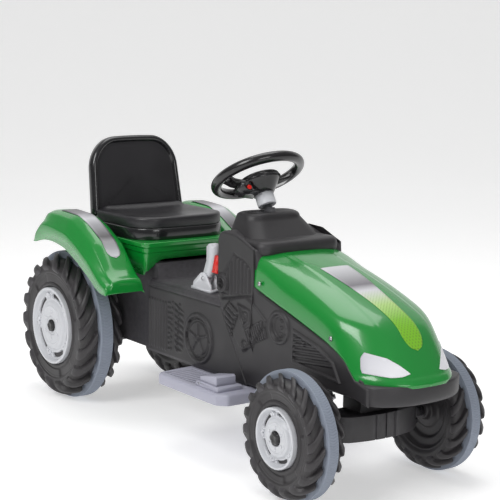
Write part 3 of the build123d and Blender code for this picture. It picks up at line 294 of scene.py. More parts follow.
# Meshes: grids of points joined into one piece.
def gridQuads(rows, columns, wrapRows, wrapColumns):
    row = np.arange(rows if wrapRows else rows - 1)
    column = np.arange(columns if wrapColumns else columns - 1)
    a, b = np.meshgrid(row, column, indexing="ij")
    nextA, nextB = (a + 1) % rows, (b + 1) % columns
    corners = [a * columns + b, nextA * columns + b, nextA * columns + nextB, a * columns + nextB]
    return np.stack(corners, -1).reshape(-1, 4)


def patch(points, wrapRows=False, wrapColumns=False):
    # One grid of points, rows by columns by xyz in millimetres, and whether each way closes on
    # itself.
    return np.asarray(points, float), wrapRows, wrapColumns


def makePiece(name, patches, look, body, replaced=(), wall=0.0, sharp=40.0,
        offset=-1.0):
    # Joins patches into one mesh, closes seams and poles, turns the faces out, and hangs it on a
    # body.
    vertices, quads, first = [], [], 0
    for points, wrapRows, wrapColumns in patches:
        rows, columns = points.shape[:2]
        vertices.append(points.reshape(-1, 3) * mm)
        quads.append(first + gridQuads(rows, columns, wrapRows, wrapColumns))
        first += rows * columns
    mesh = bpy.data.meshes.new(name)
    mesh.from_pydata(np.concatenate(vertices).tolist(), [], np.concatenate(quads).tolist())
    work = bmesh.new()
    work.from_mesh(mesh)
    bmesh.ops.remove_doubles(work, verts=work.verts, dist=0.00002)
    bmesh.ops.dissolve_degenerate(work, edges=work.edges, dist=0.000001)
    bmesh.ops.recalc_face_normals(work, faces=work.faces)
    work.to_mesh(mesh)
    work.free()
    mesh.shade_smooth()
    mesh.set_sharp_from_angle(angle=radians(sharp))
    mesh.materials.append(look)
    piece = bpy.data.objects.new(name, mesh)
    scene.collection.objects.link(piece)
    if wall:
        solid = piece.modifiers.new("wall", "SOLIDIFY")
        solid.thickness = wall * mm
        solid.offset = offset
        solid.use_even_offset = True
    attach(piece, body)
    if replaced:
        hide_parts(*replaced)
    return piece


def softCorners(corners, reach, steps=5):
    # A polyline whose inner corners are rounded: each corner becomes a quadratic curve between
    # points on its sides.
    corners = np.asarray(corners, float)
    path = [corners[:1]]
    t = np.linspace(0, 1, steps)[:, None]
    for before, here, after in zip(corners[:-2], corners[1:-1], corners[2:]):
        back, ahead = before - here, after - here
        backLong, aheadLong = np.linalg.norm(back), np.linalg.norm(ahead)
        start = here + back / backLong * min(reach, 0.45 * backLong)
        end = here + ahead / aheadLong * min(reach, 0.45 * aheadLong)
        path.append((1 - t) ** 2 * start + 2 * t * (1 - t) * here + t ** 2 * end)
    path.append(corners[-1:])
    return np.concatenate(path)


def smoothStep(low, high, value):
    t = np.clip((value - low) / (high - low), 0, 1)
    return t * t * (3 - 2 * t)


def around(centre, hand, axial, radial, angle):
    # Points of a wheel from axial reach (outboard positive), radius and angle; hand is -1 on the
    # right.
    axial, radial, angle = np.broadcast_arrays(axial, radial, angle)
    x = centre[0] + hand * axial
    y = centre[1] + radial * np.cos(angle)
    z = centre[2] + radial * np.sin(angle)
    return np.stack([x, y, z], -1)


# Wheels.
wheelKinds = {
    "rear": {"radius": 175.0, "half": 56.0, "rim": 91.0, "recess": 12.0, "lugs": 18,
    "lugHigh": 13.0, "bandHalf": 15.1, "chevrons": 150, "chevronDeep": 0.9, "hub": 20.0,
    "sweep": 19.0}, "front": {"radius": 124.0, "half": 42.0, "rim": 58.3, "recess": 12.0,
    "lugs": 18, "lugHigh": 10.0, "bandHalf": 11.3, "chevrons": 150, "chevronDeep": 0.7, "hub": 17.0,
    "sweep": 18.0},
}


def carcass(kind, turn):
    # Axial reach and radius of the tyre's outer skin, turn 0 at the band to 90 degrees at the
    # widest side wall. A squared quarter ellipse: both coordinates are a sine or cosine to the
    # power 0.75.
    side = kind["half"] - 5.0
    widest = 0.76 * kind["radius"]
    crown = kind["radius"] - 5.0 - kind["lugHigh"]
    axial = side * np.sin(turn) ** 0.75
    radial = widest + (crown - widest) * np.cos(turn) ** 0.75
    return axial, radial


def tyrePatches(kind, centre, hand):
    # The skin turned round the axle, with stepped side walls, raised arcs and a curved lug bar
    # every pitch.
    side, half = kind["half"] - 5.0, kind["half"]
    widest, rim = 0.76 * kind["radius"], kind["rim"]
    turn = np.linspace(radians(14), radians(90), 22)
    axial, radial = carcass(kind, turn)
    groove = kind["radius"] - 5.0 - kind["lugHigh"]
    outSide = softCorners(
        [(side, widest), (side + 1.0, widest - 6), (side - 4.0, widest - 12),
        (side - 4.5, rim + 13), (side - 1.5, rim + 10), (side - 1.0, rim + 3.5),
        (side - 6.0, rim + 0.3), (half - kind["recess"], rim + 0.3)], 3.0)
    inSide = softCorners(
        [(-side, widest), (-side - 0.5, widest - 8), (-side + 4.0, widest - 15),
        (-side + 4.0, 0.62 * kind["radius"]), (-side + 12.0, 0.57 * kind["radius"]),
        (-side + 14.0, 0.46 * kind["radius"]), (-side + 20.0, 0.42 * kind["radius"]),
        (-side + 21.0, 0.30 * kind["radius"]), (-side + 17.0, 0.27 * kind["radius"]),
        (-side + 17.0, kind["hub"] + 3.0), (-0.75 * half, kind["hub"]), (-0.75 * half, 6.3)],
        3.0)
    top = np.array([(kind["bandHalf"] + 0.3, groove), (-kind["bandHalf"] - 0.3, groove)])
    rightHalf = np.stack([axial, radial], -1)
    leftHalf = np.stack([-axial, radial], -1)
    bore = np.array([(half - kind["recess"], 6.3)])
    profile = np.concatenate([bore, outSide[::-1], rightHalf[::-1][1:], top, leftHalf[:-1], inSide])
    angle = np.linspace(0, tau, 241)[:-1]
    a, r = profile[:, 0][:, None], profile[:, 1][:, None]
    # raised arcs moulded on the outer side wall
    arcPlace = np.abs((angle * 2 / pi + 0.35) % 1 - 0.5)[None, :]
    arcs = smoothStep(0.34, 0.31, arcPlace) * smoothStep(rim + 12, rim + 15,
        r) * smoothStep(widest - 8, widest - 12, r)
    a = a + np.where(a > 0, 2.6 * arcs, 0.0)
    patches = [patch(around(centre, hand, a, r, angle[None, :]), True, True)]
    return patches + lugPatches(kind, centre, hand)


def lugPatches(kind, centre, hand):
    # Lug bars: a rounded section swept over the shoulder, its middle line bending back as it
    # leaves the band.
    turn = np.linspace(radians(17), radians(86), 14)
    baseAxial, baseRadial = carcass(kind, turn)
    slopeAxial, slopeRadial = np.gradient(baseAxial), np.gradient(baseRadial)
    length = np.hypot(slopeAxial, slopeRadial)
    outAxial, outRadial = -slopeRadial / length, slopeAxial / length
    share = np.linspace(0, 1, len(turn))
    high = kind["lugHigh"] * (1 - 0.62 * share ** 1.4)
    wide = kind["radius"] * (0.052 + 0.030 * share - 0.012 * share ** 3)
    across = np.array([-1.3, -1.12, -0.96, -0.70, 0.0, 0.70, 0.96, 1.12, 1.3])
    lift = np.array([-0.22, 0.30, 0.86, 1.0, 1.04, 1.0, 0.86, 0.30, -0.22])
    rise = high[:, None] * lift[None, :]
    axial = baseAxial[:, None] + outAxial[:, None] * rise
    radial = baseRadial[:, None] + outRadial[:, None] * rise
    spread = wide[:, None] * across[None, :] / baseRadial[:, None]
    bend = radians(kind["sweep"]) * (1 - (1 - share) ** 2.0)
    patches = []
    for side in (1, -1):
        for n in range(kind["lugs"]):
            start = tau * (n + (0.5 if side < 0 else 0.0)) / kind["lugs"]
            angle = start + bend[:, None] + spread
            points = around(centre, hand, side * axial, radial, angle)
            low = around(centre, hand, side * baseAxial, baseRadial - 3.0, start + bend)
            ends = [np.repeat(low[i][None, None, :], len(across), 1) for i in (0, -1)]
            # the last row sinks into the side wall, so that the bar ends in a slope
            sunk = around(centre, hand, side * (baseAxial[-1] - 3.0), baseRadial[-1] - 9.0,
                angle[-1])[None]
            patches.append(patch(np.concatenate([ends[0], points, sunk, ends[1]]), False, True))
    return patches


def bandPatches(kind, centre, hand):
    # The traction band: a ring whose outer face is cut by chevron grooves, a wave bent at the
    # middle line.
    half = kind["bandHalf"]
    steps = kind["chevrons"] * 8
    angle = np.linspace(0, tau, steps + 1)[:-1][None, :]
    across = half * np.array([-1, -1, -0.97, -0.86, -0.8, -0.55, -0.3, -0.05, 0.05, 0.3, 0.55, 0.8,
        0.86, 0.97, 1, 1])
    outer, inner = kind["radius"], kind["radius"] - 5.0 - kind["lugHigh"] + 0.3
    drop = np.array([outer - inner, 1.6, 0.5, 0.1, 0, 0, 0, 0, 0, 0, 0, 0, 0.1, 0.5, 1.6,
        outer - inner])
    wave = np.sin(angle * kind["chevrons"] + 5.0 * np.abs(across[:, None]) / half)
    inside = smoothStep(0.87, 0.80, np.abs(across[:, None]) / half)
    groove = kind["chevronDeep"] * inside * smoothStep(-0.2, 0.5, wave)
    radial = outer - drop[:, None] - groove
    return [patch(around(centre, hand, across[:, None], radial, angle), True, True)]


def boltHead(centre, hand, axial, radial, angle, size, high, sides=6):
    # A small bolt head on a wheel: a disc with a rounded shoulder, closed at its middle and
    # below.
    turn = np.linspace(0, tau, sides * 2 + 1)[:-1]
    reach = size * (1 + 0.04 * np.cos(turn * sides))
    rings = [(0, -0.5), (1.0, -0.5), (1.0, high - 0.7), (0.82, high), (0.45, high), (0, high + 0.3)]
    rows = []
    for share, lift in rings:
        out, round_ = radial + share * reach * np.cos(turn), share * reach * np.sin(turn)
        rows.append(around(centre, hand, np.full_like(turn, axial + lift), np.hypot(out, round_),
            angle + np.arctan2(round_, out)))
    return patch(np.stack(rows), False, True)


def rimPatches(kind, centre, hand):
    # The disc: lip, sloped wall, dish with five slots and bolt bosses, raised middle with ridges
    # and six bolts.
    half, rim = kind["half"], kind["rim"]
    back = half - kind["recess"]
    face = softCorners(
        [(back, 13.6), (back + 8.0, 13.6), (back + 8.0, 0.24 * rim), (back + 10.5, 0.26 * rim),
         (back + 10.0, 0.46 * rim), (back + 11.0, 0.48 * rim), (back + 11.0, 0.51 * rim),
         (back + 9.5, 0.53 * rim), (back + 8.5, 0.60 * rim), (back + 4.5, 0.655 * rim),
         (back + 4.0, 0.70 * rim)], 1.2, 4)
    dish = np.stack([np.full(24, back + 4.0), np.linspace(0.705, 0.85, 24) * rim], -1)
    lip = softCorners(
        [(back + 4.0, 0.86 * rim), (back + 5.5, 0.885 * rim), (half + 1.0, 0.925 * rim),
        (half + 2.0, 0.94 * rim), (half + 2.0, 0.985 * rim), (half + 0.5, rim), (back, rim)], 1.0,
        4)
    profile = np.concatenate([face, dish, lip])
    angle = np.linspace(0, tau, 361)[:-1]
    a, r = profile[:, 0][:, None], profile[:, 1][:, None]
    slotTurn = (angle[None, :] * 5 / tau + 0.0) % 1 - 0.5
    offAlong = np.abs(slotTurn) * tau / 5 * r - 0.24 * rim
    offAcross = np.abs(r - 0.775 * rim)
    offSlot = np.hypot(np.maximum(offAlong, 0), offAcross)
    outer = (profile[:, 0] > back + 3.0)[:, None]
    a = a - np.where(outer, 13.0 * smoothStep(0.065 * rim, 0.040 * rim, offSlot), 0.0)
    patches = [patch(around(centre, hand, a, r, angle[None, :]), False, True)]
    for n in range(5):
        middle = tau * n / 5
        for turn, reach in ((-0.085, 0.77), (0.085, 0.77), (0.0, 0.83)):
            patches.append(boltHead(centre, hand, back + 4.0, reach * rim, middle + turn,
                0.048 * rim, 3.5, 6))
    for n in range(6):
        patches.append(boltHead(centre, hand, back + 10.0, 0.36 * rim, tau * (n + 0.5) / 6,
            0.045 * rim, 2.2))
    return patches


def capPatches(kind, centre, hand):
    # The lobed cap: five soft lobes round its edge, domed on top, open over the axle end behind.
    back = kind["half"] - kind["recess"]
    turn = np.linspace(0, tau, 61)[:-1]
    lobes = 1 + 0.10 * np.cos(5 * turn)
    rings = [(6.4, back, 0), (13.0, back, 0), (13.2, back + 10.5, 1), (12.6, back + 13.0, 1),
             (10.5, back + 14.6, 1), (6.5, back + 15.0, 1), (5.0, back + 14.2, 0),
             (0.0, back + 14.2, 0)]
    outer = np.stack([around(centre, hand, np.full_like(turn, lift),
                      reach * (lobes if lobed else 1.0), turn) for reach, lift, lobed in rings])
    inner = np.stack([around(centre, hand, np.full_like(turn, lift), np.full_like(turn, reach),
                      turn) for reach, lift in ((0.0, back + 9.0), (6.4, back + 9.0), (6.4, back))])
    return [patch(np.concatenate([inner, outer]), False, True)]


for place, kind in wheelKinds.items():
    for hand, sideName in ((-1, "right"), (1, "left")):
        joint = joints[f"{place}_wheel_{sideName}_spin"]
        centre = np.array(joint["pos_m"]) * 1000
        body = f"{place}_wheel_{sideName}"
        for part, build, look, slotName in (
            ("tyre", tyrePatches, "tyreCharcoal", "wheel_plastic"),
            ("traction_band", bandPatches, "bandGrey", "tread_rubber"),
            ("rim", rimPatches, "rimSilver", "rim_plastic"),
            ("axle_cap", capPatches, "capBlack", "cap_plastic"),
        ):
            node = f"{place}_{part}_{sideName}"
            makePiece(f"{node}_skin", build(kind, centre, hand), looks[look], body, [node])
print("wheels")


# Hood: a solid given by its faces, found along rays that fan out from a spine at the lower edge.
hoodForm = {
    "edge": [(-222.0, 366.0), (-246.0, 359.0), (-385.0, 321.0), (-463.0, 298.0), (-500.0, 283.0),
    (-522.0, 268.0), (-540.0, 246.0), (-560.0, 232.0)],
}


def softMax(values, radius):
    # The largest of several distances, rounded where they are about equal: a log of summed
    # exponentials.
    stack = np.stack(np.broadcast_arrays(*values)) / radius
    top = stack.max(0)
    return radius * (top + np.log(np.exp(stack - top).sum(0)))


def hoodDistance(p):
    # Height over the nearest hood face: the crowned and slightly humped top, the leaning sides,
    # the bowed nose.
    x, y, z = p[..., 0], p[..., 1], p[..., 2]
    back = np.minimum(y + 230.0, 0)
    topLine = 432.0 + 0.139 * back - 0.000489 * back ** 2
    side = np.abs(x)
    crown = (5.0 + 8.0 * smoothStep(-236, -340, y)) * (np.minimum(side, 140) / 88) ** 3.0
    panel = 1.6 * smoothStep(52, 44, side + 0.035 * (y + 222)) * smoothStep(-250, -265, y)
    top = (z - topLine + crown - panel) * 0.92
    flank = side - 114.0 + np.clip(z - 300, -60, 140) * 0.055 + 4 * smoothStep(-560, -620, y)
    bow = 56.0 * (np.minimum(side, 130) / 100) ** 3.0
    lip = 2.5 * smoothStep(250, 246, z) * smoothStep(-520, -560, y)
    lean = 0.58 * np.maximum(z - 238, 0) ** 1.03
    nose = (-y - 627.0 + bow + lean - lip) * 0.96
    return softMax([top, flank, nose], 7.5)


def alongRays(distance, origins, rays, reach, steps=36):
    # Where each ray leaves the solid: the interval is halved again and again.
    low = np.zeros(origins.shape[:-1])
    high = np.full_like(low, reach)
    for _ in range(steps):
        middle = (low + high) / 2
        inside = distance(origins + rays * middle[..., None]) < 0
        low = np.where(inside, middle, low)
        high = np.where(inside, high, middle)
    return origins + rays * low[..., None]


edge = softCorners(hoodForm["edge"], 14.0, 6)
run = np.concatenate([[0], np.cumsum(np.hypot(*np.diff(edge, axis=0).T))])
spots = np.linspace(0, run[-1], 84)
spineY, spineZ = np.interp(spots, run, edge[:, 0]), np.interp(spots, run, edge[:, 1])
fan = radians(90) * np.linspace(-1, 1, 121)
fan = fan - 0.12 * np.sin(2 * fan)
nosePitch = radians(90) * np.linspace(0, 1, 30)[1:] ** 0.9
pitch = np.concatenate([np.zeros(len(spots)), nosePitch])[:, None]
spineY = np.concatenate([spineY, np.full(len(nosePitch), spineY[-1])])
spineZ = np.concatenate([spineZ, np.full(len(nosePitch), spineZ[-1])])
rays = np.stack(np.broadcast_arrays(np.cos(pitch) * np.sin(fan), -np.sin(pitch),
    np.cos(pitch) * np.cos(fan)), -1)
origins = np.zeros_like(rays)
origins[..., 1], origins[..., 2] = spineY[:, None], spineZ[:, None]
hoodSkin = alongRays(hoodDistance, origins, rays, 320.0)
makePiece("hood_skin", [patch(hoodSkin)], looks["greenGloss"], "root", ["hood"],
    wall=3.0, sharp=60)
print("hood")

# Lofts: rings of one outline, moved inwards and along, closed at both ends.
def roundedOutline(low, high, radii, steps=9):
    # A rectangle with its own radius at each corner, anticlockwise from low left, as points in
    # its plane.
    corners = [(low[0], low[1], pi), (high[0], low[1], 1.5 * pi), (high[0], high[1], 0),
        (low[0], high[1], 0.5 * pi)]
    inward = [(1, 1), (-1, 1), (-1, -1), (1, -1)]
    t = np.linspace(0, pi / 2, steps)
    points = []
    for (u, v, start), (du, dv), radius in zip(corners, inward, radii):
        points.append(np.stack([u + du * radius + radius * np.cos(start + t),
            v + dv * radius + radius * np.sin(start + t)], -1))
    ring = np.concatenate(points)
    # straight sides get points of their own, about one every 8 mm
    dense = []
    for here, after in zip(ring, np.roll(ring, -1, 0)):
        count = max(1, int(np.hypot(*(after - here)) / 8))
        dense.append(here + (after - here) * np.linspace(0, 1, count, endpoint=False)[:, None])
    return np.concatenate(dense)


def loft(outline, rows, place, height=None):
    # Rings: each row is (inset, scale, lift). place turns u, v, lift into xyz; height adds to the
    # lift by u and v.
    step = np.roll(outline, -1, 0) - np.roll(outline, 1, 0)
    inward = np.stack([-step[:, 1], step[:, 0]], -1)
    inward /= np.hypot(*inward.T)[:, None]
    middle = (outline.min(0) + outline.max(0)) / 2
    rings = []
    for inset, scale, lift in rows:
        ring = middle + (outline + inward * inset - middle) * scale
        raised = lift + (height(ring[:, 0], ring[:, 1]) if height and scale < 1 else 0)
        rings.append(place(ring[:, 0], ring[:, 1], np.broadcast_to(raised, ring.shape[:1])))
    return patch(np.stack(rings), False, True)


def flat(u, v, lift):
    return np.stack([u, v, lift], -1)


# Seat.
seatForm = {"backTop": 615.0, "lean": 10.0}


def seatBasePatches():
    # The lower tier: an outline with rounded corners, upright sides and a small step in at the
    # joint.
    outline = roundedOutline((-124, 191), (124, 421.5), (68, 68, 34, 34), 13)
    rows = [(0, 0.0, 401), (3, 1, 401), (0.6, 1, 402), (0, 1, 404), (0, 1, 424.5), (1.0, 1, 427),
        (4, 1, 428), (0, 0.0, 428)]
    return [loft(outline, rows, flat)]


def seatTop(u, v):
    # The dished seat: a shallow bowl, a soft roll across the back and a slight rise at the front
    # edge.
    bowl = -5.0 * np.clip(1 - (u / 105) ** 2, 0, 1) * np.clip(1 - ((v - 300) / 92) ** 2, 0, 1)
    roll = 9.0 * np.exp(-((v - 386) / 11) ** 2) * smoothStep(118, 96, np.abs(u))
    return bowl + roll


def seatPadPatches():
    outline = roundedOutline((-122.5, 192.5), (122.5, 419.5), (67, 67, 33, 33), 13)
    rows = [(0, 0.0, 428.1), (4, 1, 428.1), (1.2, 1, 428.6), (0.2, 1, 430.5), (0, 1, 446),
            (1.0, 1, 449.5), (3.5, 1, 451.6), (7, 1, 452.2), (11, 1, 452.0)]
    rows += [(11, s, 452.0) for s in np.linspace(0.985, 0.0, 26)]
    return [loft(outline, rows, flat, seatTop)]


def backPlace(u, v, lift):
    # The backrest's own plane: v up the leaning slab, lift forward of its rear face.
    lean = radians(seatForm["lean"])
    foot = np.array([0.0, 419.5, 430.0])
    y = foot[1] + v * sin(lean) - lift * cos(lean)
    z = foot[2] + v * cos(lean) + lift * sin(lean)
    return np.stack([u, y, z], -1)


def backrestPatches():
    # A slab with broad upper corners: a rounded glossy border round a sunk grained panel.
    tall = (seatForm["backTop"] - 430.0) / cos(radians(seatForm["lean"]))
    outline = roundedOutline((-126, 2), (122, tall - 5), (6, 6, 68, 68), 15)
    outline[:, 0] *= 1 - 0.075 * (outline[:, 1] / tall)
    outline[:, 1] += 7.0 * (outline[:, 1] / tall) * (1 - (outline[:, 0] / 125) ** 2)
    border = [(0, 0.0, 0), (6, 1, 0), (1.5, 1, 1.5), (0, 1, 5), (0, 1, 17), (1.5, 1, 22),
              (5, 1, 25.4), (9, 1, 26), (12.5, 1, 24.6), (14.5, 1, 21.5), (16, 1, 20.0)]
    panel = [(16, 1, 20.0), (19, 1, 19.6)] + [(19, s, 19.6) for s in np.linspace(0.96, 0, 14)]
    bulge = lambda u, v: 1.5 * np.clip(1 - (u / 100) ** 2, 0, 1)
    return [loft(outline, border, backPlace)], [loft(outline, panel, backPlace, bulge)]


makePiece("seat_base_shell", seatBasePatches(), looks["seatBlack"], "root", ["seat_base"],
    sharp=50)
makePiece("seat_cushion_shell", seatPadPatches(), looks["seatGrained"], "root", ["seat"],
    sharp=50)
border, panel = backrestPatches()
makePiece("backrest_border", border, looks["seatBlack"], "root", (), sharp=60)
makePiece("backrest_panel", panel, looks["seatGrained"], "root", (), sharp=60)
print("seat")


# Fenders and deck.
def resample(points, count):
    # Evenly spaced points along a polyline.
    points = np.asarray(points, float)
    run = np.concatenate([[0], np.cumsum(np.linalg.norm(np.diff(points, axis=0), axis=1))])
    spots = np.linspace(0, run[-1], count)
    return np.stack([np.interp(spots, run, points[:, i]) for i in range(points.shape[1])], -1)


fenderRails = {
    # y and z along each edge of the fender, from its rear end over the wheel and down the front of its toe
    "inner": [(501, 372), (497, 398), (489, 412), (462, 438), (440, 443), (410, 443), (342, 440.0),
    (300, 426), (240, 396), (208, 364), (184, 339), (170, 330), (161, 326), (156.5, 320),
    (155, 311), (155.5, 298)], "top": [(501, 376), (498, 404), (491, 420), (463, 449), (445, 451.5),
    (410, 451.5), (342, 448.0), (300, 433), (240, 401), (208, 368), (184, 342), (170, 332),
    (161, 328), (156.0, 322), (154.5, 312), (155, 298)],
    "crease": [(501, 376), (498, 399), (489, 413), (463, 442), (445, 445), (410, 445), (347, 441),
    (306, 426), (249, 396), (214, 364), (188, 339), (172, 329), (161, 325), (156, 320),
    (154.5, 311), (155, 297.5)], "belt": [(501, 375), (496, 388), (488, 397), (466, 415), (445,
    417.5), (405, 415), (346, 408), (296, 388), (238, 357), (206, 333), (182, 317), (168, 312),
    (159, 309.5), (156, 306), (154.8, 303), (155, 297)],
    "low": [(500, 374), (492, 373), (485, 374), (458, 381), (435, 384.5), (399, 385), (345, 377),
    (284, 352), (225, 321), (200, 305), (180, 298), (170, 296.5), (163, 296), (158, 295.8),
    (156, 295.6), (155, 295.5)],
}
# each row: rail, reach to the side, lift, and how far its corner is rounded
fenderWide = [("inner", 139.0, -9.0, 4.0), ("inner", 143.0, 0.0, 6.0), ("top", 158.0, 0.0, 12.0),
              ("top", 198.0, 0.0, 9.0), ("crease", 215.0, 0.0, 3.0), ("crease", 218.2, -5.5, 2.0),
              ("belt", 228.0, 7.0, 3.0), ("belt", 231.6, 1.5, 2.0), ("low", 233.8, 0.0, 3.0)]


def fenderPatches(hand):
    # Edges run from rear to toe, and rounded cross sections join them; the inner wall drops
    # beside the deck.
    rails = {name: resample(softCorners(points, 12.0, 6), 150) for name,
        points in fenderRails.items()}
    lines, reaches = [np.column_stack([np.full(150, 134.0), rails["low"]])], []
    for name, x, lift, reach in fenderWide:
        line = rails[name].copy()
        # lifts fade out where the rails run together at the toe and at the rear
        room = smoothStep(4, 26, rails["top"][:, 1] - rails["low"][:, 1])
        line[:, 1] += lift * room
        lines.append(np.column_stack([np.full(len(line), x), line]))
        reaches.append(reach)
    rounded = softRails(np.stack(lines), reaches[:-1] + [3.0], 5)
    rounded[..., 0] *= hand
    return [patch(rounded)]


def softRails(corners, reaches, steps):
    # softCorners for many cross sections at once: corners is edge by place by xyz.
    t = np.linspace(0, 1, steps)[:, None, None]
    path = [corners[:1]]
    for before, here, after, reach in zip(corners[:-2], corners[1:-1], corners[2:], reaches):
        back, ahead = before - here, after - here
        backLong = np.linalg.norm(back, axis=-1, keepdims=True) + 1e-9
        aheadLong = np.linalg.norm(ahead, axis=-1, keepdims=True) + 1e-9
        start = here + back / backLong * np.minimum(reach, 0.45 * backLong)
        end = here + ahead / aheadLong * np.minimum(reach, 0.45 * aheadLong)
        path.append((1 - t) ** 2 * start + 2 * t * (1 - t) * here + t ** 2 * end)
    path.append(corners[-1:])
    return np.concatenate(path)


for hand, sideName in ((-1, "right"), (1, "left")):
    makePiece(f"fender_{sideName}_skin", fenderPatches(hand), looks["greenGloss"], "root",
              [f"fender_{sideName}"], wall=2.6, sharp=50)


def deckPatches():
    # The deck: a flat top and a skirt all round with two soft steps, whose lower edge drops at
    # the corners.
    outline = roundedOutline((-128, 166), (128, 447.5), (16, 16, 5, 5))
    step = np.roll(outline, -1, 0) - np.roll(outline, 1, 0)
    inward = np.stack([-step[:, 1], step[:, 0]], -1)
    inward /= np.hypot(*inward.T)[:, None]
    section = softCorners([(9.0, 401.0), (1.6, 401), (0, 399.5), (0, 391.0), (2.6, 389.0),
                          (3.4, 379), (6.0, 377), (6.6, 360)], 1.6, 4)
    side = np.abs(outline[:, 0])
    low = 362.0 - 26.0 * smoothStep(72, 126, side) - 8.0 * smoothStep(166, 182,
        outline[:, 1]) * (side > 126)
    rings = [np.column_stack([outline * 0.0 + outline.mean(0), np.full(len(outline), 401.0)])]
    for inset, lift in section:
        ring = outline + inward * inset
        share = np.clip((377.0 - lift) / 17.0, 0, 1)
        rings.append(np.column_stack([ring, lift + share * (low - 360.0)]))
    return [patch(np.stack(rings), False, True)]


makePiece("seat_deck_skin", deckPatches(), looks["greenGloss"], "root", ["seat_deck"],
    wall=2.6, sharp=50)
print("fenders and deck")


# Stickers and lamps.
def ridgeAt(rail, y):
    # Height of a fender rail at each y; the rail runs rear to toe, so it is read backwards.
    line = softCorners(fenderRails[rail], 12.0, 6)[::-1]
    return np.interp(y, line[:, 0], line[:, 1])


def fenderSticker(hand):
    # A strip along the fender's top with a rounded front end, 0.5 mm proud.
    y = np.linspace(424, 207, 56)
    share = (424 - y) / 217
    half = (19.5 - 2.5 * share) * np.sqrt(np.clip(1 - np.clip((share - 0.93) / 0.07, 0, 1) ** 2,
        0.0, 1))
    across = np.linspace(-1, 1, 9)[:, None]
    x = 178.5 - 1.5 * share + across * half
    z = ridgeAt("top", y) + 0.75 - 2.0 * smoothStep(191, 205, x)
    return patch(np.stack([hand * x, np.broadcast_to(y, x.shape), z], -1))


makePiece("fender_sticker_pair", [fenderSticker(-1), fenderSticker(1)], looks["fenderFilm"], "root",
          ["fender_stickers"], wall=0.5, offset=1.0)

y = np.linspace(-343, -592, 70)
share = (y + 343) / -249
half = (34.5 - 11.5 * smoothStep(0, 0.75,
    share)) * np.sqrt(np.clip(1 - np.clip((share - 0.91) / 0.09, 0, 1) ** 2, 0.001, 1))
across = np.linspace(-1, 1, 17)[:, None]
x = across * half
start = np.stack(np.broadcast_arrays(x, y, 200.0), -1)
film = alongRays(hoodDistance, start, np.broadcast_to(np.array([0.0, 0.0, 1.0]), start.shape),
    320.0)
film[..., 2] += 0.5
makePiece("hood_sticker_film", [patch(film)], looks["hoodFilm"], "root", ["hood_sticker"],
    wall=0.4, offset=1.0)

for hand, sideName in ((-1, "right"), (1, "left")):
    reach = np.linspace(36, 102, 40)
    low = np.interp(reach, [36, 52, 70, 102], [256.5, 252.5, 251, 255])
    high = np.interp(reach, [36, 50, 66, 92, 98, 102], [257.5, 271, 283, 291, 282, 262])
    share = np.linspace(0, 1, 14)[:, None]
    lensZ = low + share * (high - low)
    start = np.stack(np.broadcast_arrays(hand * reach, -400.0, lensZ), -1)
    lens = alongRays(hoodDistance, start, np.broadcast_to(np.array([0.0, -1.0, 0.0]), start.shape),
        320.0)
    lens[..., 1] -= 0.6
    makePiece(f"headlight_{sideName}_lens", [patch(lens)], looks["lampFilm"], "root",
              [f"headlight_{sideName}"], wall=0.9, offset=0.0)
print("stickers and lamps")


# Moulded flanks: a height over the side plane, dense enough to hold the embossing.
def disc(y, z, centre, radius, soft=1.6):
    return smoothStep(radius + soft / 2, radius - soft / 2, np.hypot(y - centre[0], z - centre[1]))


def ring(y, z, centre, inner, outer, soft=1.6):
    return disc(y, z, centre, outer, soft) - disc(y, z, centre, inner, soft)


def insidePolygon(y, z, corners, soft=2.2):
    # One inside a polygon whose corners run clockwise or anticlockwise, falling to nought over
    # its edge.
    corners = np.asarray(corners, float)
    turn = np.sign(np.sum(corners[:, 0] * np.roll(corners[:, 1], -1) - np.roll(corners[:, 0],
        -1) * corners[:, 1]))
    nearest = np.full(y.shape, 1e9)
    for (y0, z0), (y1, z1) in zip(corners, np.roll(corners, -1, 0)):
        long = np.hypot(y1 - y0, z1 - z0)
        nearest = np.minimum(nearest, turn * ((y1 - y0) * (z - z0) - (z1 - z0) * (y - y0)) / long)
    return smoothStep(-soft / 2, soft / 2, nearest)


def bars(along, low, high, count, fill=0.5):
    # count raised bars across a coordinate between low and high, each with soft shoulders.
    turn = (along - low) / (high - low) * count
    wave = np.abs(turn % 1 - 0.5)
    return smoothStep(fill / 2 + 0.12, fill / 2 - 0.05, wave) * (along > low) * (along < high)


def slanted(y, z, origin, degrees):
    # Coordinates along and across a line through origin, tilted up towards the nose by so many
    # degrees.
    turn = radians(degrees)
    dy, dz = -(y - origin[0]), z - origin[1]
    return dy * cos(turn) + dz * sin(turn), -dy * sin(turn) + dz * cos(turn)


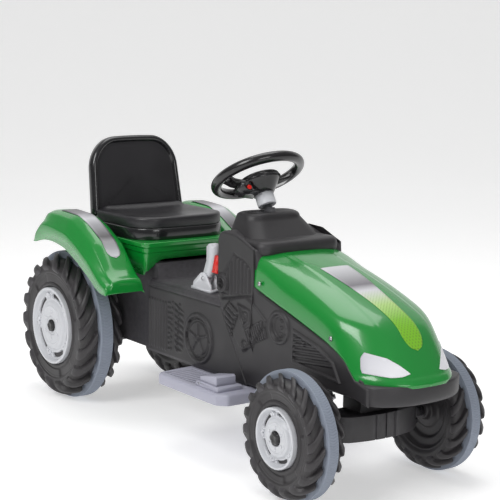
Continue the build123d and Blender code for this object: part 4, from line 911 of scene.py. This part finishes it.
def frontRelief(y, z):
    # Height of the dash and nose flank: rib panel, bosses, engine block, stepped recess and
    # slatted grille.
    h = np.zeros_like(y)
    panel = insidePolygon(y, z, [(-157, 424), (-121, 378), (-114, 322), (-221, 343), (-216, 401),
        (-195, 414)])
    ribs = bars(y, -214, -126, 7, 0.42) * insidePolygon(y, z,
        [(-157, 417), (-127, 378), (-122, 332), (-214, 349), (-210, 398), (-193, 408)])
    h = h - 1.8 * panel + 2.2 * ribs
    boss = disc(y, z, (-119, 355), 20, 3) * 3.2
    h = h * (1 - disc(y, z, (-119, 355), 20, 3)) + boss - 5.2 * disc(y, z, (-119, 355), 9.5, 2)
    h = h + 1.4 * ring(y, z, (-119, 355), 11, 13.5)
    low = disc(y, z, (-126, 190), 40, 3)
    h = h + 4.0 * low - 1.6 * ring(y, z, (-126, 190), 15, 22) - 4.8 * disc(y, z, (-126, 190), 8, 2)
    recess = disc(y, z, (-316, 297), 33, 2.5)
    h = h + 2.4 * recess - 3.0 * disc(y, z, (-316, 297), 26, 2.5) - 2.2 * disc(y, z, (-316, 297),
        20, 2.5)
    for dz in (-13, 0, 13):
        h = h + 2.6 * disc(y, z, (-319, 297 + dz), 3.6, 2)
    outline = [(-124, 299), (-150, 326), (-174, 334), (-202, 340), (-236, 326), (-272, 304),
               (-279, 268), (-230, 244), (-216, 226), (-196, 224), (-184, 232), (-162, 256)]
    block = insidePolygon(y, z, outline, 3)
    h = h + 2.0 * block
    along, across = slanted(y, z, (-149, 284), 62)
    fins = (np.abs(along) < 33) * (np.abs(across) < 20)
    rack = bars(along, -33, 33, 6, 0.52) * smoothStep(20, 17, np.abs(across))
    h = h + 3.0 * rack * fins - 1.2 * fins * (1 - rack) * smoothStep(21, 19, np.abs(across))
    cover = insidePolygon(y, z, [(-178, 322), (-222, 316), (-222, 292), (-199, 276), (-186, 290)],
        2)
    inner = insidePolygon(y, z, [(-184, 317), (-216, 311), (-216, 295), (-200, 283), (-191, 293)],
        2)
    h = h + 1.6 * cover - 2.0 * inner + 1.6 * ring(y, z, (-203, 300), 6, 9)
    stack = insidePolygon(y, z, [(-204, 272), (-262, 302), (-276, 268), (-216, 243)], 2)
    along, _ = slanted(y, z, (-210, 258), 26)
    h = h + stack * (3.4 * bars(along, 0, 66, 9, 0.5) - 0.8)
    h = h + 2.6 * disc(y, z, (-203, 240), 9, 2) - 1.8 * disc(y, z, (-203, 240), 5, 2)
    grille = insidePolygon(y, z, [(-361, 303), (-360, 237), (-508, 226), (-486, 262), (-441, 285)],
        2)
    frameIn = insidePolygon(y, z, [(-366, 296), (-365, 242), (-500, 231), (-482, 258), (-440, 278)],
        2)
    slats = bars(z + 0.10 * (y + 360), 236, 300, 6, 0.40)
    h = h + 2.4 * grille - 3.4 * frameIn + 2.2 * frameIn * slats
    h = h + 1.6 * frameIn * ring(y, z, (-398, 286), 7, 10)
    return h


def tubRelief(y, z):
    # Height of the tub flank: the five-armed cover, slanted ribs and rows of small studs near the
    # rear.
    centre = (-29, 222)
    h = 2.6 * ring(y, z, centre, 46, 54) - 1.6 * ring(y, z, centre, 42, 46)
    h = h + 1.2 * disc(y, z, centre, 41) - 1.4 * ring(y, z, centre, 36, 40)
    angle = np.arctan2(z - centre[1], y - centre[0])
    reach = np.hypot(y - centre[0], z - centre[1])
    spoke = np.abs((angle * 5 / tau + 0.25) % 1 - 0.5) * tau / 5 * reach
    h = h + 2.0 * smoothStep(2.6, 1.0, spoke) * smoothStep(37, 34, reach)
    h = h + 2.0 * disc(y, z, centre, 6)
    h = h + 1.6 * bars(y, 98, 176, 7, 0.4) * smoothStep(282, 276, z) * smoothStep(168, 174, z)
    for column in (74, 46):
        for n in range(9):
            spot = (column + 0.12 * (9 * n), 282 - 13 * n)
            h = h + 2.4 * disc(y, z, spot, 2.6,
                2) * (np.hypot(spot[0] - centre[0], spot[1] - centre[1]) > 58)
    bandsArea = insidePolygon(y, z, [(66, 284), (30, 268), (34, 180), (66, 172)], 3)
    h = h + 1.3 * bandsArea * bars(z - 0.25 * (y - 50), 172, 282, 8, 0.45)
    rear = insidePolygon(y, z, [(95, 284), (80, 284), (84, 166), (95, 166)], 3)
    return h + 1.2 * rear * bars(z, 170, 284, 10, 0.4)


def flankPatch(hand, yLow, yHigh, bottom, top, relief, face, deepest, step=1.9):
    # One side plane: columns run from the bottom edge to the top edge, and the height turns down
    # at every border.
    y = np.linspace(yLow, yHigh, int((yHigh - yLow) / step) + 1)
    low = np.interp(y, *np.array(bottom, float).T)
    high = np.interp(y, *np.array(top, float).T)
    rows = int((high - low).max() / step) + 1
    share = np.linspace(0, 1, rows)[:, None]
    z = low + share * (high - low)
    yy = np.broadcast_to(y, z.shape)
    border = np.minimum(np.minimum(z - low, high - z), np.minimum(yy - yLow, yHigh - yy))
    edge = 4.5 * (1 - np.sqrt(np.clip(1 - (1 - np.clip(border / 5.0, 0, 1)) ** 2, 0, 1)))
    x = face + np.maximum(1.5 * relief(yy, z), -deepest) * smoothStep(1.0, 6.0, border) - edge
    return patch(np.stack([hand * x, yy, z], -1))


frontBottom = [(-585, 197), (-548, 205), (-345, 205), (-309, 159), (-208, 159), (-108, 318),
    (-99, 351)]
frontTop = [(-585, 231), (-548, 241), (-520, 268), (-500, 281), (-463, 296), (-385, 318),
            (-246, 356), (-228, 366), (-226, 440), (-166, 462), (-119, 464), (-99, 446)]
tubBottom = [(-205, 159), (178, 159)]
tubTop = [(-205, 160), (-110, 306), (178, 306)]
for hand, sideName in ((-1, "right"), (1, "left")):
    makePiece(f"front_flank_{sideName}", [flankPatch(hand, -585, -99, frontBottom, frontTop,
              frontRelief, 112.4, 3.4)], looks["bodyCharcoal"], "root", (),
              sharp=60)
    makePiece(f"tub_flank_{sideName}", [flankPatch(hand, -205, 178, tubBottom, tubTop, tubRelief,
              111.6, 1.2)], looks["bodyCharcoal"], "root", (), sharp=60)
print("flanks")

# Front body: a rounded prism, the nose under the hood, the cowl bar and the pod on the dash.
def prismPatches(profile, rows, outward):
    # A side profile carried across x with rounded rims: rows of inset and x; returns the ring
    # grid.
    profile = np.asarray(profile, float)
    step = np.roll(profile, -1, 0) - np.roll(profile, 1, 0)
    inward = np.stack([-step[:, 1], step[:, 0]], -1) * outward
    inward /= np.hypot(*inward.T)[:, None]
    rings = [np.column_stack([np.full(len(profile), x), profile + inward * inset]) for inset,
        x in rows]
    return np.stack(rings)


def closeEnds(piece):
    # Fills the two open ends of a prism with one flat face each.
    work = bmesh.new()
    work.from_mesh(piece.data)
    ends = [e for e in work.edges if e.is_boundary]
    bmesh.ops.holes_fill(work, edges=ends, sides=0)
    bmesh.ops.triangulate(work, faces=[f for f in work.faces if len(f.verts) > 4])
    bmesh.ops.recalc_face_normals(work, faces=work.faces)
    work.to_mesh(piece.data)
    work.free()


bodyProfile = softCorners(
    [(-450, 205), (-345, 205), (-322, 175), (-309, 159), (-208, 159), (-150, 246), (-108, 318),
    (-98.5, 351), (-104.5, 404), (-94, 440), (-99, 458), (-119, 465), (-150, 455), (-190, 443),
    (-226, 437), (-234, 418), (-240, 366), (-385, 330), (-463, 306), (-500, 291), (-522, 276),
    (-545, 250), (-566, 240), (-566, 205), (-450, 205)], 7.0, 5)[:-1]
rims = [(5.0, -108.2), (1.6, -107.4), (0, -104.0), (0, 104.0), (1.6, 107.4), (5.0, 108.2)]
shell = makePiece("front_body_shell", [patch(prismPatches(bodyProfile, rims, 1), False, True)],
                  looks["bodyCharcoal"], "root", ["front_body"], sharp=50)
closeEnds(shell)

nose = softCorners([(0, -560), (110.8, -560), (111.2, -577), (104, -598), (72, -619), (30, -628),
    (0, -629)], 24.0, 9)
nose = np.concatenate([nose, (nose * (-1, 1))[::-1][1:-1]])
noseRows = [(0, 0.0, 197.5), (12, 1, 197.5), (5.5, 1, 199), (1.8, 1, 202.5), (0.2, 1, 208),
            (0, 1, 214), (0, 1, 232.5), (1.2, 1, 235.5), (4, 1, 236.5), (4, 0.0, 236.5)]
makePiece("front_chin", [loft(nose[::-1], noseRows, flat)], looks["bodyCharcoal"], "root", (),
    sharp=60)

bar = roundedOutline((-101, -242), (101, -112), (26, 26, 10, 10))
barRows = [(0, 0.0, 424), (4, 1, 424), (0.8, 1, 426), (0, 1, 430), (0, 1, 441), (2.2, 1, 447),
           (6.5, 1, 451), (13, 1, 452.5), (13, 0.0, 453)]
makePiece("cowl_bar", [loft(bar, barRows, flat)], looks["bodyCharcoal"], "root", (),
    sharp=60)


def podRing(share, inset, z):
    # The pod's plan outline at a share of its height: it narrows and its front leans back as it
    # rises.
    half, front, rear = 88.0 - 20.0 * share, -204.0 + 44.0 * share, -88.0 + 2.0 * share
    ring = roundedOutline((-half + inset, front + inset), (half - inset, rear - inset),
        (30, 30, 22, 22), 11)
    return np.column_stack([ring, np.full(len(ring), z)])


podHigh, podLow, podRound = 498.5, 446.0, 11.0
podRings = [podRing(share, 0,
    podLow + share * (podHigh - podRound - podLow)) for share in np.linspace(0, 1, 9)]
for turn in np.linspace(0, pi / 2, 7)[1:]:
    podRings.append(podRing(1, podRound * (1 - cos(turn)), podHigh - podRound * (1 - sin(turn))))
centre = podRings[-1].mean(0)
podRings.append(np.broadcast_to(centre, podRings[-1].shape))
count = min(len(r) for r in podRings)
podRings = [np.stack([np.interp(np.linspace(0, 1, count), np.linspace(0, 1, len(r)),
            r[:, i]) for i in range(3)], -1) for r in podRings]
makePiece("dash_pod", [patch(np.stack(podRings), False, True)], looks["bodyCharcoal"], "root", (),
    sharp=60)
print("front body")

# Raised bars in the footboard's trays.
for hand, sideName in ((-1, "right"), (1, "left")):
    cells = []
    for n in range(9):
        y0 = -121.0 + 12.5 * n
        corners = [(hand * 122.0, y0), (hand * 184.0, y0 - 9.0), (hand * 184.0, y0 - 3.6),
            (hand * 122.0, y0 + 5.4)]
        ring = np.array(corners if hand > 0 else corners[::-1])
        rows = [(0, 1, 153.4), (0, 1, 154.5), (0.7, 1, 155.1), (0.7, 0.0, 155.1)]
        cells.append(loft(ring, rows, flat))
    makePiece(f"tread_bars_{sideName}", cells, looks["boardGrey"], "root", (),
        sharp=30)

# What keeps its CAD shape: rounded edges and a finish for every node that shows.
nodeLooks = {
    "bodyCharcoal": ["rear_body", "front_body", "front_axle_beam"],
    "greenGloss": ["hood", "seat_deck", "fender_right", "fender_left"],
    "seatBlack": ["seat_base"],
    "seatGrained": ["seat"],
    "wheelBlack": ["steering_wheel", "wheel_cover", "button_pod"],
    "boardGrey": ["footboard", "pedal_base", "pedal"],
    "leverGrey": ["lever_bracket", "gear_lever", "column_collar", "headlight_right",
    "headlight_left"], "signalRed": ["lever_grip", "red_button"],
    "zincSteel": ["rear_axle", "kingpins", "tie_rod", "steering_column", "pedal_pin", "lever_pin",
    "body_screws", "knuckle_right", "knuckle_left", "motor_right", "motor_left"],
    "innerBlack": ["gearbox_right", "gearbox_left", "drive_dog_right", "drive_dog_left",
    "column_bush_top", "column_bush_floor", "battery_tray"],
    "batteryGrey": ["battery", "hood_sticker", "fender_stickers"],
}
roundings = {"rear_body": 5.0, "front_body": 4.0, "front_axle_beam": 3.0, "seat_deck": 3.0,
             "fender_right": 2.5, "fender_left": 2.5, "seat_base": 2.0, "seat": 2.5,
             "footboard": 1.5, "pedal": 1.2, "pedal_base": 1.2}
for lookName, names in nodeLooks.items():
    for name in names:
        node = nodes[name]
        node.data.materials.clear()
        node.data.materials.append(looks[lookName])
        weld = node.modifiers.new("weld", "WELD")
        weld.merge_threshold = 0.00001
        if name in roundings:
            bevel = node.modifiers.new("edges", "BEVEL")
            bevel.width = roundings[name] * mm
            bevel.segments = 3
            bevel.limit_method = "ANGLE"
            bevel.angle_limit = radians(28)
            bevel.use_clamp_overlap = True
            bevel.harden_normals = False
        node.data.shade_smooth()
print("frame finishes")

# Stage.
stage = {"key": 46.0, "fill": 20.0, "top": 34.0, "world": 0.45, "backdrop": 1.0, "floorGlow": 0.42}


def buildStage():
    # the floor runs level, then turns up behind into a wall, so that no line shows
    turn = np.linspace(0, pi / 2, 40)
    far = np.concatenate([[-9.0, 5.0], 5.0 + 5.0 * np.sin(turn), [10.0]])
    high = np.concatenate([[0, 0], 5.0 - 5.0 * np.cos(turn), [16.0]])
    across = np.linspace(-14, 14, 3)
    sweep = np.stack(np.broadcast_arrays(across[:, None], far[None, :], high[None, :]), -1)
    back = Matrix.Rotation(-radians(35.344), 3, "Z")
    sweep = sweep.reshape(-1, 3) @ np.array(back).T
    floorMesh = bpy.data.meshes.new("floor")
    floorMesh.from_pydata(sweep.tolist(), [], gridQuads(3, len(far), False, False).tolist())
    floorMesh.shade_smooth()
    floor = bpy.data.objects.new("floor", floorMesh)
    scene.collection.objects.link(floor)
    material = bpy.data.materials.new("floorPale")
    material.use_nodes = True
    shader = material.node_tree.nodes["Principled BSDF"]
    shader.inputs["Base Color"].default_value = (0.8, 0.8, 0.8, 1)
    shader.inputs["Roughness"].default_value = 0.85
    shader.inputs["Specular IOR Level"].default_value = 0.1
    shader.inputs["Emission Color"].default_value = (1, 1, 1, 1)
    shader.inputs["Emission Strength"].default_value = stage["floorGlow"]
    floorMesh.materials.append(material)
    floor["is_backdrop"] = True
    world = bpy.data.worlds.new("studio")
    world.use_nodes = True
    tree = world.node_tree
    seen = tree.nodes["Background"]
    seen.inputs[0].default_value = (1, 1, 1, 1)
    seen.inputs[1].default_value = stage["backdrop"]
    # what the object reflects: bright overhead, dim at the horizon
    lit = tree.nodes.new("ShaderNodeBackground")
    lit.inputs[1].default_value = stage["world"]
    split = tree.nodes.new("ShaderNodeSeparateXYZ")
    tree.links.new(tree.nodes.new("ShaderNodeTexCoord").outputs["Generated"], split.inputs[0])
    ramp = addNode(tree, "ShaderNodeMapRange",
        **{"From Min": -0.1, "From Max": 0.9, "To Min": 0.25, "To Max": 1.0})
    tree.links.new(split.outputs[2], ramp.inputs["Value"])
    tree.links.new(ramp.outputs[0], lit.inputs[0])
    path = tree.nodes.new("ShaderNodeLightPath")
    both = tree.nodes.new("ShaderNodeMixShader")
    tree.links.new(path.outputs["Is Camera Ray"], both.inputs[0])
    tree.links.new(lit.outputs[0], both.inputs[1])
    tree.links.new(seen.outputs[0], both.inputs[2])
    tree.links.new(both.outputs[0], tree.nodes["World Output"].inputs[0])
    scene.world = world
    target = Vector((0, 0, 0.3))
    for name, place, size, power in (
        ("key", (-2.4, -0.6, 2.4), (1.4, 1.4), stage["key"]),
        ("fill", (-0.6, -3.4, 1.5), (1.6, 1.0), stage["fill"]),
        ("top", (0.4, 0.4, 3.0), (2.0, 2.0), stage["top"]),
    ):
        data = bpy.data.lights.new(name, "AREA")
        data.shape = "RECTANGLE"
        data.size, data.size_y = size
        data.energy = power
        lamp = bpy.data.objects.new(name, data)
        lamp.location = place
        lamp.rotation_euler = (target - Vector(place)).to_track_quat("-Z", "Y").to_euler()
        scene.collection.objects.link(lamp)


def buildCamera():
    # A long lens, level with the child's head, seen from the tractor's front right.
    data = bpy.data.cameras.new("camera")
    data.sensor_width = 36.0
    data.lens = 99.27
    camera = bpy.data.objects.new("camera", data)
    scene.collection.objects.link(camera)
    yaw, dip, roll = radians(35.344), radians(8.851), radians(0.653)
    ahead = Vector((sin(yaw) * cos(dip), cos(yaw) * cos(dip), -sin(dip)))
    right = Vector((cos(yaw), -sin(yaw), 0))
    up = right.cross(ahead)
    tiltedRight = right * cos(roll) + up * sin(roll)
    tiltedUp = up * cos(roll) - right * sin(roll)
    turn = Matrix((tiltedRight, tiltedUp, -ahead)).transposed().to_4x4()
    camera.matrix_world = Matrix.Translation((-1.6809, -2.4265, 0.8590)) @ turn
    data.clip_start, data.clip_end = 0.05, 60.0
    scene.camera = camera


buildStage()
buildCamera()
scene.view_settings.view_transform = "Standard"
print("stage and camera")

low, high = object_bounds()
